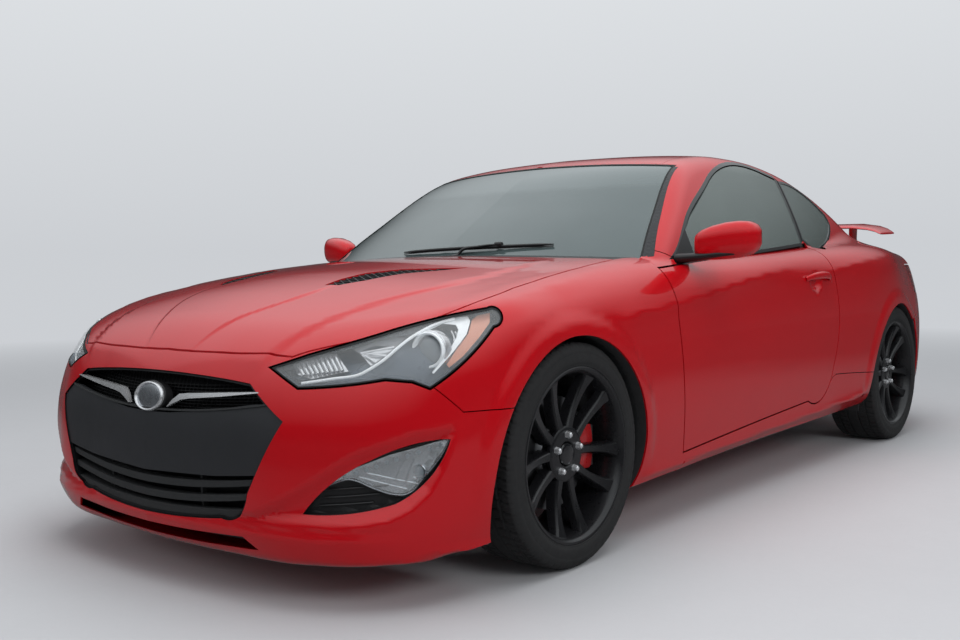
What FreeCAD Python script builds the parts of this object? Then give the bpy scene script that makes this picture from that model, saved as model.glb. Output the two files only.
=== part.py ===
import FreeCAD, Part
import math
import os

# Two-door fastback coupe, built as an assembly of separate panels, glass, cabin fittings and running gear.
# Frame: +Z up, nose towards -Y, the car's left side towards +X, origin on the ground at its middle.
# All sizes are millimetres.

os.makedirs("parts", exist_ok=True)

V = FreeCAD.Vector
X_AXIS = V(1, 0, 0)
Y_AXIS = V(0, 1, 0)
Z_AXIS = V(0, 0, 1)
# Level direction into the car from its left front corner
INWARD = V(-math.sqrt(0.5), math.sqrt(0.5), 0)

# Overall size and wheel places
LENGTH = 4630.0
BODY_WIDTH = 1865.0
ROOF_HEIGHT = 1360.0
WHEELBASE = 2820.0
FRONT_OVERHANG = 850.0
NOSE_Y = -LENGTH / 2
TAIL_Y = LENGTH / 2
FRONT_AXLE_Y = NOSE_Y + FRONT_OVERHANG
REAR_AXLE_Y = FRONT_AXLE_Y + WHEELBASE

# Wheels
FRONT_TYRE_RADIUS = 331.0
REAR_TYRE_RADIUS = 333.0
RIM_RADIUS = 258.0
RIM_SEAT = 241.0
RIM_WALL = 9.0
RIM_FLANGE = 8.0
FRONT_TYRE_WIDTH = 225.0
REAR_TYRE_WIDTH = 240.0
FRONT_TRACK = 1600.0
REAR_TRACK = 1590.0
SPOKE_PAIRS = 5
SPOKE_ROOT = 18.0
SPOKE_TIP = 58.0
SPOKE_SPREAD = 15.0
SPOKE_THICK = 24.0
HUB_RADIUS = 78.0
HUB_FACE_DISH = 42.0
HUB_BORE = 33.0
SHAFT_CLEARANCE = 0.05
BOLT_CIRCLE = 57.15
BRAKE_RADIUS = 168.0
BRAKE_THICK = 28.0

# Steering
KINGPIN_INBOARD = 37.0
JOINT_REACH = 195.0

# Wheel openings and panel gaps
FRONT_ARCH_RADIUS = 382.0
REAR_ARCH_RADIUS = 372.0
FRONT_ARCH_DROP = 33.0
REAR_ARCH_DROP = 25.0
WELL_INNER_X = 515.0
LINER_THICK = 10.0
PANEL_GAP = 5.0
LID_GAP = 7.0
HINGE_GAP = 9.0
LID_SKIN = 8.0
LID_THICK = 30.0
LID_STEP = 16.0
SEAT_GAP = 0.3
DOOR_GAP = 6.0
SKIN = 35.0
DOOR_THICK = 95.0
PILLAR_THICK = 42.0
ROOF_THICK = 26.0
GLASS_THICK = 6.0
LAMP_DEPTH = 110.0

# Cabin and bay limits along the car
FIREWALL_Y = -1050.0
BULKHEAD_Y = 1180.0
FLOOR_Z = 200.0
FLOOR_THICK = 26.0
TRUNK_FLOOR_Z = 400.0
BELT_FRONT = (-874.0, 868.0)
BELT_REAR = (545.0, 966.0)
CABIN_HALF = 745.0

# Lower body: one row per cross-section.
# y, sill x, sill z, waist x, waist z, shoulder x, shoulder z, crown x, crown z, centre z
BODY_SECTIONS = [
    (-2400, 780, 100, 850, 330, 790, 530, 600, 555, 570),
    (-2100, 820, 115, 880, 400, 840, 620, 670, 692, 742),
    (-1800, 860, 135, 915, 440, 888, 715, 720, 786, 840),
    (FRONT_AXLE_Y, 885, 150, 930, 470, 900, 745, 740, 846, 889),
    (-1000, 875, 165, 915, 490, 890, 770, 775, 897, 928),
    (-300, 865, 180, 903, 500, 884, 795, 800, 915, 950),
    (500, 872, 190, 910, 520, 890, 825, 800, 950, 985),
    (REAR_AXLE_Y, 890, 205, BODY_WIDTH / 2, 550, 900, 850, 780, 972, 1020),
    (1850, 865, 215, 888, 560, 808, 830, 695, 955, 1000),
    (2400, 780, 240, 800, 580, 730, 800, 610, 920, 965),
]
SIDE_RISE = (10.0, 8.0, 26.0)

# Plan outline of the nose and tail: one row per level.
# z, how far the nose is set back, how far the tail is set forward
PLAN_LEVELS = [
    (60, 95, 150),
    (200, 16, 70),
    (350, 4, 25),
    (500, 20, 3),
    (640, 78, 0),
    (800, 210, 18),
    (1080, 480, 75),
]
NOSE_PLAN = (560.0, 62.0, 800.0, 215.0, 955.0, 450.0)
TAIL_PLAN = (600.0, 65.0, 790.0, 220.0, 900.0, 500.0)

JACK_Z = 158.0
PLATE_HOLES = (89.0, 60.5, 3.2)
PLATE_Z = 590.0
PLATE_SEAT_Y = 2295.0

# Greenhouse side profile at three distances from the middle.
# x, how far the windscreen is set back, roof drop, how far the rear window is set forward
GLASS_PROFILES = [(0, 0, 0, 0), (560, 55, 26, 45), (840, 150, 66, 120)]
SCREEN_FOOT = (-1133.0, 860.0)
SCREEN_TOP = (-394.0, 1298.0)
ROOF_TOP_Y = 190.0
BACK_TOP = (830.0, 1303.0)
BACK_FOOT = (1700.0, 940.0)
GREENHOUSE_BASE_Z = 860.0

# Greenhouse sides: y, belt x, rail x
TUMBLEHOME = [(-1300, 806, 592), (-300, 818, 604), (600, 800, 590), (1250, 745, 525), (2000, 640, 430)]
BELT_Z = 880.0
RAIL_Z = 1310.0


def seg(a, b):
    return Part.LineSegment(a, b).toShape()


def arc(a, m, b):
    return Part.Arc(a, m, b).toShape()


def flip(p):
    return V(-p.x, p.y, p.z)


def mirrored(shape):
    return shape.mirror(V(0, 0, 0), X_AXIS)


def box(x0, x1, y0, y1, z0, z1):
    return Part.makeBox(x1 - x0, y1 - y0, z1 - z0, V(x0, y0, z0))


def tube_x(radius, x0, x1, y, z):
    return Part.makeCylinder(radius, x1 - x0, V(x0, y, z), X_AXIS)


def between(a, b, radius):
    line = b - a
    return Part.makeCylinder(radius, line.Length, a, line)


def outline(points, plane, at):
    """Closed face from (u, v) corners; four numbers are an arc through the first pair to the second."""
    place = {
        "x": lambda u, v: V(at, u, v),
        "y": lambda u, v: V(u, at, v),
        "z": lambda u, v: V(u, v, at),
    }[plane]
    start = place(*points[0][:2])
    here = start
    edges = []
    for row in points[1:]:
        if len(row) == 4:
            end = place(row[2], row[3])
            edges.append(arc(here, place(row[0], row[1]), end))
        else:
            end = place(*row)
            edges.append(seg(here, end))
        here = end
    if (here - start).Length > 1e-6:
        edges.append(seg(here, start))
    return Part.Face(Part.Wire(edges))


def prism(points, plane, low, high, grow=0.0):
    """Prism of an outline along x, y, z or diagonally into the left front corner, grown by a clearance."""
    face = outline(points, "z", 0.0)
    if grow:
        face = face.makeOffset2D(grow, 0, False, False, False)
    solid = face.extrude(Z_AXIS * (high - low))
    if plane == "x":
        solid.Placement = FreeCAD.Placement(V(low, 0, 0), FreeCAD.Rotation(V(1, 1, 1), 120))
    elif plane == "y":
        solid.Placement = FreeCAD.Placement(V(0, high, 0), FreeCAD.Rotation(X_AXIS, 90))
    elif plane == "corner":
        turn = FreeCAD.Rotation(Z_AXIS, 45).multiply(FreeCAD.Rotation(X_AXIS, 90))
        solid.Placement = FreeCAD.Placement(INWARD * high, turn)
    else:
        solid.Placement = FreeCAD.Placement(V(0, 0, low), FreeCAD.Rotation())
    return solid


def largest(shape, count=1):
    solids = sorted(shape.Solids, key=lambda s: -s.Volume)[:count]
    return solids[0] if count == 1 else Part.makeCompound(solids)


def bulge_point(a, b, rise):
    """Point over the middle of a chord in an x-z plane, raised outwards."""
    d = b - a
    return (a + b) * 0.5 + V(d.z, 0, -d.x) * (rise / d.Length)


def body_wire(row, inset):
    y, sx, sz, wx, wz, hx, hz, cx, cz, top = row
    sill = V(sx - inset, y, sz - 0.6 * inset)
    waist = V(wx - inset, y, wz)
    shoulder = V(hx - inset, y, hz - 0.4 * inset)
    crown = V(cx - 0.7 * inset, y, cz - inset)
    centre = V(0, y, top - inset)
    stops = [sill, waist, shoulder, crown]
    side = []
    for a, b, rise in zip(stops, stops[1:], SIDE_RISE):
        side.append((a, bulge_point(a, b, rise), b))
    edges = [seg(flip(sill), sill)]
    edges += [arc(*p) for p in side]
    edges.append(arc(crown, centre, flip(crown)))
    edges += [arc(flip(b), flip(m), flip(a)) for a, m, b in reversed(side)]
    return Part.Wire(edges)


def plan_wire(level, inset):
    z, nose_back, tail_back = level
    z += inset * (z - 600) / 1000
    yn = NOSE_Y + nose_back + inset
    yt = TAIL_Y - tail_back - inset
    fx, fd, mx, md, ex, ed = NOSE_PLAN
    rx, rd, nx, nd, qx, qd = TAIL_PLAN
    nose = V(fx - inset, yn + fd, z)
    nose_mid = V(mx - inset, yn + md, z)
    nose_end = V(ex - inset, yn + ed, z)
    tail = V(rx - inset, yt - rd, z)
    tail_mid = V(nx - inset, yt - nd, z)
    tail_end = V(qx - inset, yt - qd, z)
    return Part.Wire(
        [
            arc(flip(nose), V(0, yn, z), nose),
            arc(nose, nose_mid, nose_end),
            seg(nose_end, tail_end),
            arc(tail_end, tail_mid, tail),
            arc(tail, V(0, yt, z), flip(tail)),
            arc(flip(tail), flip(tail_mid), flip(tail_end)),
            seg(flip(tail_end), flip(nose_end)),
            arc(flip(nose_end), flip(nose_mid), flip(nose)),
        ]
    )


def lower_body(inset=0.0):
    sides = Part.makeLoft([body_wire(r, inset) for r in BODY_SECTIONS], True, False)
    ends = Part.makeLoft([plan_wire(r, inset) for r in PLAN_LEVELS], True, False)
    return sides.common(ends)


def profile_wire(row, side, inset):
    x, back, drop, forward = row
    x *= side
    foot = V(x, SCREEN_FOOT[0] + back + 2 * inset, GREENHOUSE_BASE_Z)
    header = V(x, SCREEN_TOP[0] + back + 0.5 * inset, SCREEN_TOP[1] - drop - 0.8 * inset)
    roof = V(x, ROOF_TOP_Y, ROOF_HEIGHT - drop - inset)
    rear = V(x, BACK_TOP[0] - forward * 0.4, BACK_TOP[1] - drop - inset)
    tail = V(x, BACK_FOOT[0] - forward - 1.5 * inset, BACK_FOOT[1] - inset)
    corner = V(x, tail.y, GREENHOUSE_BASE_Z)
    screen_mid = (foot + header) * 0.5 + V(0, -11, 19)
    back_mid = (rear + tail) * 0.5 + V(0, 14, 34)
    return Part.Wire(
        [
            seg(corner, foot),
            arc(foot, screen_mid, header),
            arc(header, roof, rear),
            arc(rear, back_mid, tail),
            seg(tail, corner),
        ]
    )


def tumble_wire(row, inset):
    y, belt, rail = row
    low = V(belt - inset, y, BELT_Z)
    high = V(rail - inset, y, RAIL_Z)
    base = V(belt - inset, y, GREENHOUSE_BASE_Z - 60)
    top = V(rail - inset - 70, y, RAIL_Z + 100)
    mid = bulge_point(low, high, 14)
    return Part.Wire(
        [
            seg(flip(base), base),
            seg(base, low),
            arc(low, mid, high),
            seg(high, top),
            seg(top, flip(top)),
            seg(flip(top), flip(high)),
            arc(flip(high), flip(mid), flip(low)),
            seg(flip(low), flip(base)),
        ]
    )


def greenhouse(inset=0.0):
    left = [profile_wire(r, 1, inset) for r in GLASS_PROFILES]
    right = [profile_wire(r, -1, inset) for r in reversed(GLASS_PROFILES[1:])]
    length = Part.makeLoft(right + left, True, False)
    width = Part.makeLoft([tumble_wire(r, inset) for r in TUMBLEHOME], True, False)
    return length.common(width)


# Panel outlines. Side outlines are (y, z), front and rear outlines (x, z), plan outlines (x, y).
# Front corner outlines are (distance to the left rear, z).
BELT_SLOPE = (BELT_REAR[1] - BELT_FRONT[1]) / (BELT_REAR[0] - BELT_FRONT[0])
DOOR = [
    (-806, 246),
    (276, 306),
    (455, 322, 520, 430),
    (575, 600, 557, 842),
    BELT_REAR,
    BELT_FRONT,
]


def on_belt(y):
    return (y, BELT_FRONT[1] + BELT_SLOPE * (y - BELT_FRONT[0]))


SAIL = [on_belt(-737), on_belt(-620), (-620, 962), (-700, 907)]
DOOR_GLASS = [
    on_belt(-620),
    (-620, 962),
    (-470, 1060),
    (-190, 1196),
    (100, 1290, 420, 1283),
    (562, 1258),
    (500, 975),
    on_belt(498),
]
DOOR_WINDOW = [
    (-770, 840),
    (-716, 909),
    (-478, 1072),
    (-195, 1209),
    (100, 1303, 420, 1296),
    (572, 1271),
    (508, 968),
    (508, 840),
]
QUARTER_GLASS = [
    (532, 986),
    (592, 1253),
    (850, 1222, 1035, 1132),
    (1068, 1100, 1052, 1062),
    (930, 1000, 760, 957),
    (650, 945, 575, 966),
]
HOOD = [
    (0, -2216),
    (260, -2209, 500, -2180),
    (700, -2040),
    (775, -1840, 775, -1600),
    (742, -1010),
    (400, -1085, 0, -1100),
    (-400, -1085, -742, -1010),
    (-775, -1600),
    (-775, -1840, -700, -2040),
    (-500, -2180),
    (-260, -2209, 0, -2216),
]
HEADLAMP = [
    (-1244, 624),
    (-1172, 577),
    (-1064, 585, -951, 600),
    (-882, 593),
    (-838, 575),
    (-748, 636, -660, 722),
    (-638, 756, -672, 767),
    (-803, 746, -961, 707),
    (-1143, 657),
]
FOG_POCKET = [
    (-1165, 257),
    (-1068, 260, -931, 286),
    (-845, 345, -787, 443),
    (-880, 436, -992, 397),
    (-1092, 336, -1165, 257),
]
GRILLE = [
    (-400, 582),
    (0, 600, 400, 582),
    (533, 493),
    (430, 300),
    (390, 235, 320, 222),
    (0, 203, -320, 222),
    (-390, 235, -430, 300),
    (-533, 493),
]
LIP_SLOT = [(-400, 184), (0, 172, 400, 184), (440, 150), (0, 136, -440, 150)]
BUMPER_SIDE = [
    (-2500, 40), (-1500, 40), (-1500, 499), (-1940, 508), (-2012, 580), (-2060, 690), (-2500, 690),
]
WINDSCREEN = [(-770, 890), (770, 890), (597, 1268), (0, 1292, -597, 1268)]
BACKLIGHT = [
    (0, 862),
    (300, 862, 470, 905),
    (560, 1440),
    (300, 1545, 0, 1550),
    (-300, 1545, -560, 1440),
    (-470, 905),
    (-300, 862, 0, 862),
]
TRUNK_PLAN = [
    (0, 1572),
    (350, 1566, 625, 1490),
    (625, 2500),
    (-625, 2500),
    (-625, 1490),
    (-350, 1566, 0, 1572),
]
TRUNK_LOW_Z = 735.0
TAIL_LAMP = [(640, 745), (780, 712), (860, 730), (860, 800), (790, 872), (640, 870)]
REAR_BUMPER_SIDE = [(2500, 40), (1400, 40), (1400, 560), (1980, 640), (2040, 735), (2500, 735)]
ROOF_PLAN = [
    (-545, -330),
    (0, -385, 545, -330),
    (520, 300),
    (470, 830),
    (0, 812, -470, 830),
    (-520, 300),
]


def save(name, shape):
    shape.exportStep("parts/" + name + ".step")


def pair(shape):
    return Part.makeCompound([shape, mirrored(shape)])


outer = lower_body()
skin_inner = lower_body(SKIN)
door_inner = lower_body(DOOR_THICK)
cabin_top = greenhouse()
pillar_inner = greenhouse(PILLAR_THICK)
roof_inner = greenhouse(ROOF_THICK)
glass_inner = greenhouse(GLASS_THICK)

front_hub_z = FRONT_TYRE_RADIUS
rear_hub_z = REAR_TYRE_RADIUS
front_arch_z = front_hub_z - FRONT_ARCH_DROP
rear_arch_z = rear_hub_z - REAR_ARCH_DROP


def wells(grow, inner_x):
    front = tube_x(FRONT_ARCH_RADIUS + grow, inner_x, 1100, FRONT_AXLE_Y, front_arch_z)
    rear = tube_x(REAR_ARCH_RADIUS + grow, inner_x, 1100, REAR_AXLE_Y, rear_arch_z)
    return [front, rear, mirrored(front), mirrored(rear)]


arches = wells(0, WELL_INNER_X)
lined_arches = wells(LINER_THICK, WELL_INNER_X - 5)
thin_shell = outer.cut(skin_inner).cut(arches)
left_half = box(0, 1100, -2500, 2500, 0, 1500)

# Hood and front end
hood_tool = prism(HOOD, "z", 500, 1100, LID_GAP)
cowl_tool = prism(HOOD, "z", 500, 1100, HINGE_GAP)
lamp_tool = prism(HEADLAMP, "corner", -2250, -1620, PANEL_GAP)
lamp_tools = [lamp_tool, mirrored(lamp_tool)]
hood_body = prism(HOOD, "z", 500, 1100)
hood_core = prism(HOOD, "z", 500, 1100, -LID_STEP)
hood_skin = outer.cut(lower_body(LID_SKIN)).common(hood_body)
hood = outer.cut(lower_body(LID_THICK)).common(hood_core).fuse(hood_skin).cut(lamp_tools)
save("hood", largest(hood))

front_shell = thin_shell.common(box(-1100, 1100, -2500, -780, 0, 1500))
bumper_tool = prism(BUMPER_SIDE, "x", -1100, 1100)
bumper_gap = prism(BUMPER_SIDE, "x", -1100, 1100, PANEL_GAP)
fog_tool = prism(FOG_POCKET, "corner", -2250, -1750)
grille_tool = prism(GRILLE, "y", -2400, -2100)
slot_tool = prism(LIP_SLOT, "y", -2400, -2100)
bumper = front_shell.common(bumper_tool).cut([hood_tool] + lamp_tools)
save("front_bumper", largest(bumper.cut([fog_tool, mirrored(fog_tool), grille_tool, slot_tool])))

door_front = [
    (-806, 246), BELT_FRONT, (BELT_FRONT[0], 1500), (-2500, 1500), (-2500, 0), (-790, 0), (-790, 246),
]
fender_side = prism(door_front, "x", 0, 1100)
door_above = [on_belt(-868), (-868, 1100), (551, 1100), on_belt(551)]
door_tool = prism(DOOR, "x", 0, 1100, DOOR_GAP)
pillar_foot = box(CABIN_HALF, 862, -1000, -780, 850, 1100)
cowl_region = box(-CABIN_HALF, CABIN_HALF, -1190, -862, 700, 1100)
fender = front_shell.common(fender_side).cut([bumper_gap, hood_tool, lamp_tool, door_tool, pillar_foot])
fender = fender.cut(cowl_region)
save("front_fenders", pair(largest(fender)))

lamp_core = outer.cut(lower_body(LAMP_DEPTH)).common(prism(HEADLAMP, "corner", -2250, -1620))
lamp_flange = lower_body(SKIN).cut(lower_body(SKIN + 15))
lamp_flange = lamp_flange.common(prism(HEADLAMP, "corner", -2250, -1620, 14))
headlamp = largest(lamp_core.fuse(lamp_flange).cut([hood_tool] + lined_arches))
save("headlamps", pair(headlamp))

pocket_shell = lower_body(SKIN).cut(lower_body(SKIN + 40))
fog_lamp = largest(pocket_shell.common(prism(FOG_POCKET, "corner", -2250, -1750, 8)).cut(lined_arches))
save("fog_lamps", pair(fog_lamp))

grille = pocket_shell.common(prism(GRILLE, "y", -2400, -2050, 8))
for low, high in [(232, 252), (272, 292), (312, 332)]:
    grille = grille.cut(box(-330, 330, -2400, -2050, low, high))
save("grille", largest(grille))

# Wheel liners and the tray under the engine bay
liner_rings = []
inner_room = lower_body(SKIN)
for ring, well in zip(wells(LINER_THICK, WELL_INNER_X), arches):
    liner = ring.cut(well).common(inner_room)
    liner_rings.append(largest(liner.common(box(-1100, 1100, -2500, 2500, 150, 800))))
save("wheel_liners", Part.makeCompound(liner_rings))

tray = inner_room.common(box(-1100, 1100, -2400, FIREWALL_Y, 160, 172))
tray = tray.cut(wells(LINER_THICK, WELL_INNER_X))
tray_end = box(CABIN_HALF, 1100, -1080, -1040, 0, 400)
save("undertray", largest(tray.cut([tray_end, mirrored(tray_end)])))

# Root structure: floor, tunnel, firewall, cabin back wall and boot floor
floor = box(-CABIN_HALF, CABIN_HALF, FIREWALL_Y, BULKHEAD_Y, FLOOR_Z, FLOOR_Z + FLOOR_THICK)
tunnel_hole = box(-130, 130, FIREWALL_Y - 10, BULKHEAD_Y + 10, 0, 380)
tunnel = box(-150, 150, FIREWALL_Y, BULKHEAD_Y, FLOOR_Z, 400)
firewall = box(-CABIN_HALF, CABIN_HALF, FIREWALL_Y, FIREWALL_Y + 24, 172, 1000).common(skin_inner)
bulkhead = box(-690, 690, BULKHEAD_Y - 24, BULKHEAD_Y, FLOOR_Z, 1100).common(skin_inner)
boot_floor = box(-1100, 1100, BULKHEAD_Y - 24, 2300, TRUNK_FLOOR_Z, TRUNK_FLOOR_Z + 20).common(skin_inner)
shelf_plan = [(CABIN_HALF, 480), (690, 1080), (640, 1500), (-640, 1500), (-690, 1080), (-CABIN_HALF, 480)]
boot_gap = prism(TRUNK_PLAN, "z", TRUNK_LOW_Z, 1200, HINGE_GAP)
shelf = thin_shell.common(prism(shelf_plan, "z", 760, 1100))
shelf = shelf.common(box(-1100, 1100, BULKHEAD_Y - 24, 1700, 800, 1100))
lid_brackets = []
for x in (-510, 480):
    lid_brackets.append(box(x, x + 30, 1440, 1600, 900, 1100).common(lower_body(LID_THICK + SEAT_GAP)))
floor_pan = floor.fuse([tunnel, firewall, bulkhead, boot_floor, shelf] + lid_brackets)
lid_reach = prism(TRUNK_PLAN, "z", TRUNK_LOW_Z, 1200, HINGE_GAP).cut(lower_body(LID_THICK + SEAT_GAP))
pipe_hole = box(-250, -60, BULKHEAD_Y - 40, BULKHEAD_Y + 10, 0, 320)
floor_pan = floor_pan.cut([tunnel_hole, pipe_hole, lid_reach] + wells(LINER_THICK, WELL_INNER_X))
save("floor_pan", largest(floor_pan))

# Body sides: hinge post, sill, quarter panel, pillars and roof rail
roof_gap = prism(ROOF_PLAN, "z", 1100, 1500, 2)
screen_tool = prism(WINDSCREEN, "y", -1300, -300)
backlight_tool = prism(BACKLIGHT, "z", 940, 1400)
door_window = prism(DOOR_WINDOW, "x", 400, 1100)
quarter_tool = prism(QUARTER_GLASS, "x", 300, 1100)
rear_tool = prism(REAR_BUMPER_SIDE, "x", -1100, 1100)
rear_gap = prism(REAR_BUMPER_SIDE, "x", -1100, 1100, PANEL_GAP)
tail_lamp_tool = prism(TAIL_LAMP, "y", 1900, 2450, PANEL_GAP)
cabin_plan = [(-CABIN_HALF, -862), (CABIN_HALF, -862)] + shelf_plan
cabin_tool = prism(cabin_plan, "z", 760, 1100)
door_clear = prism(door_above, "x", 0, 1100, 0)

quarter = thin_shell.common(box(0, 1100, -1000, 2500, 0, 1500))
quarter = quarter.cut([door_tool, door_clear, cabin_tool, boot_gap, rear_gap, tail_lamp_tool, cowl_region])
quarter = quarter.cut(fender_side.cut(pillar_foot))
post = skin_inner.common(box(CABIN_HALF, 1100, -1000, -885, 200, 1000))
sill = outer.common(box(CABIN_HALF, 1100, -790, 978, 0, 228))
sill = sill.fuse(skin_inner.common(box(CABIN_HALF, 1100, -1075, -780, 0, 228))).cut(door_tool)
upper = cabin_top.cut(pillar_inner).cut(outer).common(left_half)
upper = upper.cut([roof_gap, screen_tool, backlight_tool, door_window, quarter_tool, boot_gap])
body_side = quarter.fuse([post, sill, upper]).cut([door_tool] + lid_brackets)
hinges = []
for z in (345, 640):
    hinges.append(box(775, 835, -890, -770, z, z + 60).cut(prism(DOOR, "x", 0, 1100, SEAT_GAP)))
jack_pads = [box(772, 832, -700, -640, JACK_Z, 200), box(772, 832, 780, 840, JACK_Z, 215)]
body_side = largest(body_side.fuse(hinges + jack_pads))
save("body_side_left", body_side)
save("body_side_right", mirrored(body_side))

# Roof, fixed glass and cowl
roof = cabin_top.cut(roof_inner).common(prism(ROOF_PLAN, "z", 1100, 1500))
save("roof_panel", largest(roof.cut(prism(WINDSCREEN, "y", -1300, -300, 3))))

glass_shell = cabin_top.cut(glass_inner).cut(outer)
save("windscreen", largest(glass_shell.common(screen_tool)))
save("rear_window", largest(glass_shell.common(backlight_tool)))
save("quarter_windows", pair(largest(glass_shell.common(quarter_tool))))

cowl = thin_shell.common(cowl_region).cut(cowl_tool)
save("cowl", largest(cowl))

# Doors, door glass and mirrors
door = outer.common(box(CABIN_HALF, 1100, -1000, 700, 200, 1000))
door = door.common(prism(DOOR, "x", 0, 1100)).cut(door_inner)
door = largest(door)
save("door_left", door)
save("door_right", mirrored(door))

side_glass = greenhouse().cut(glass_inner)
door_glass = largest(side_glass.common(prism(DOOR_GLASS, "x", 400, 1100)))
save("door_glass_left", door_glass)
save("door_glass_right", mirrored(door_glass))

sail = largest(side_glass.common(prism(SAIL, "x", 400, 1100)))
mirror_stem = box(806, 960, -725, -640, 885, 915)
# Door mirror housing: x, half depth, half height, centre z; its middle runs back a quarter as fast as out
MIRROR = [(866, 40, 48, 958), (960, 56, 64, 962), (1045, 50, 54, 968), (1079, 22, 26, 972)]
housing = []
for x, half_y, half_z, z in MIRROR:
    y = -650 + (x - 900) * 0.25
    ring = Part.Ellipse(V(x, y, z + half_z), V(x, y + half_y, z), V(x, y, z))
    housing.append(Part.Wire([ring.toShape()]))
mirror = Part.makeLoft(housing, True, False)
mirror = mirror.fuse([mirror_stem, box(866, 950, -695, -615, 885, 960)])
mirror = largest(mirror.cut(outer.common(prism(DOOR, "x", 0, 1100))).fuse(sail))
save("mirror_left", mirror)
save("mirror_right", mirrored(mirror))

# Boot lid, spoiler, rear bumper and lamps
lid_low = TRUNK_LOW_Z + LID_GAP
lid_skin = outer.cut(lower_body(LID_SKIN)).common(prism(TRUNK_PLAN, "z", lid_low, 1200))
lid = outer.cut(lower_body(LID_THICK))
lid = lid.common(prism(TRUNK_PLAN, "z", lid_low + LID_STEP, 1200, -LID_STEP)).fuse(lid_skin)
lid = largest(lid)
save("trunk_lid", lid)

# Rear wing: half span, front edge y and z, rear edge y and z, thickness
WING = [
    (450, 2010, 1084, 2250, 1110, 24),
    (560, 2000, 1068, 2246, 1088, 20),
    (620, 1972, 1040, 2235, 1047, 10),
]


def wing_wire(x, y0, z0, y1, z1, thick):
    front = V(x, y0, z0)
    top = V(x, y0 + 0.45 * (y1 - y0), z0 + 0.55 * (z1 - z0) + thick * 0.6)
    low = V(x, y0 + 0.45 * (y1 - y0), z0 + 0.45 * (z1 - z0) - thick * 0.4)
    rear_top = V(x, y1, z1)
    rear_low = V(x, y1, z1 - 5)
    return Part.Wire([arc(front, top, rear_top), seg(rear_top, rear_low), arc(rear_low, low, front)])


wing_wires = [wing_wire(-row[0], *row[1:]) for row in reversed(WING)]
wing_wires += [wing_wire(*row) for row in WING]
wing = Part.makeLoft(wing_wires, True, True)
feet = []
for x in (-430, -16, 398):
    feet.append(box(x, x + 32, 2080, 2190, 800, 1092))
wing = wing.fuse(feet).cut(outer)
save("rear_spoiler", largest(wing))

tips = []
for x in (-560, 560):
    tips.append(Part.makeCylinder(56, 700, V(x, 1900, 285), Y_AXIS))
rear_bumper = thin_shell.common(box(-1100, 1100, 1200, 2500, 0, 1000)).common(rear_tool)
rear_bumper = rear_bumper.cut([tail_lamp_tool, mirrored(tail_lamp_tool)] + tips)
rear_bumper = rear_bumper.cut(box(-190, 190, PLATE_SEAT_Y, 2500, PLATE_Z - 88, PLATE_Z + 88))
for x in (-PLATE_HOLES[0], PLATE_HOLES[0]):
    for z in (-PLATE_HOLES[1], PLATE_HOLES[1]):
        hole = Part.makeCylinder(PLATE_HOLES[2], 200, V(x, PLATE_SEAT_Y - 100, PLATE_Z + z), Y_AXIS)
        rear_bumper = rear_bumper.cut(hole)
save("rear_bumper", largest(rear_bumper))

tail_core = outer.cut(lower_body(80)).common(prism(TAIL_LAMP, "y", 1900, 2450))
tail_flange = lower_body(SKIN).cut(lower_body(SKIN + 15)).common(prism(TAIL_LAMP, "y", 1900, 2450, 14))
tail_lamp = largest(tail_core.fuse(tail_flange).cut([boot_gap]))
save("tail_lamps", pair(tail_lamp))

# Front frame, engine and cabin fittings
front_frame = box(-500, 500, -2130, -2080, 300, 400)
parts = [box(-340, 340, -2080, -2030, 172, 600)]
hood_underside = lower_body(LID_THICK + SEAT_GAP)
for x in (-330, 330):
    parts.append(Part.makeCylinder(14, 600, V(x, -2060, 380), Z_AXIS).common(hood_underside))
for side in (1, -1):
    hinge = box(690, 722, -1120, -1024, 560, 1000).common(hood_underside)
    hinge = hinge.fuse(box(690, 722, -1120, FIREWALL_Y, 560, 700))
    parts.append(hinge if side > 0 else mirrored(hinge))
for side in (1, -1):
    rail = box(440, 500, -2130, FIREWALL_Y, 300, 400).fuse(box(270, 445, -1560, -1500, 330, 390))
    parts.append(rail if side > 0 else mirrored(rail))
front_frame = front_frame.fuse(parts)
save("front_frame", largest(front_frame))

engine = box(-270, 270, -1900, -1090, 232, 690).fuse(box(-100, 100, -1100, -500, 232, 370))
save("engine_block", engine)

DASH = [
    (-1026, 600), (-1026, 1000), (-862, 1000), (-862, 915), (-720, 945, -610, 905), (-580, 840, -600, 760),
    (-680, 600),
]
dash = prism(DASH, "x", -735, 735).common(skin_inner.fuse(box(-740, 740, -862, -500, 500, 1000)))
console = box(-110, 110, -720, 120, 400, 560)
column_axis = V(0, math.cos(math.radians(25)), math.sin(math.radians(25)))
WHEEL_CENTRE = V(370, -450, 800)
shroud_face = WHEEL_CENTRE - column_axis * 60
dash = dash.fuse([console, Part.makeCylinder(42, 200, shroud_face - column_axis * 200, column_axis)])
save("dashboard", largest(dash))

grip = Part.makeTorus(178, 15, WHEEL_CENTRE, column_axis)
hub = Part.makeCylinder(40, 70, shroud_face, column_axis)
steering = [grip]
for angle in (90, 210, 330):
    a = math.radians(angle)
    up = column_axis.cross(X_AXIS) * -1
    out = X_AXIS * math.sin(a) + up * math.cos(a) * -1
    steering.append(between(WHEEL_CENTRE, WHEEL_CENTRE + out * 176, 11))
save("steering_wheel", largest(hub.fuse(steering)))

FRONT_SEAT = [
    (-190, 240), (-190, 400), (-180, 450, -120, 452), (200, 420), (330, 900), (350, 1000, 400, 1000),
    (470, 990, 460, 900),
    (330, 400), (300, 226), (-150, 226),
]
seat = prism(FRONT_SEAT, "x", 165, 600).fuse(box(300, 465, 385, 455, 950, 1130))
save("front_seats", pair(largest(seat)))

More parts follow.
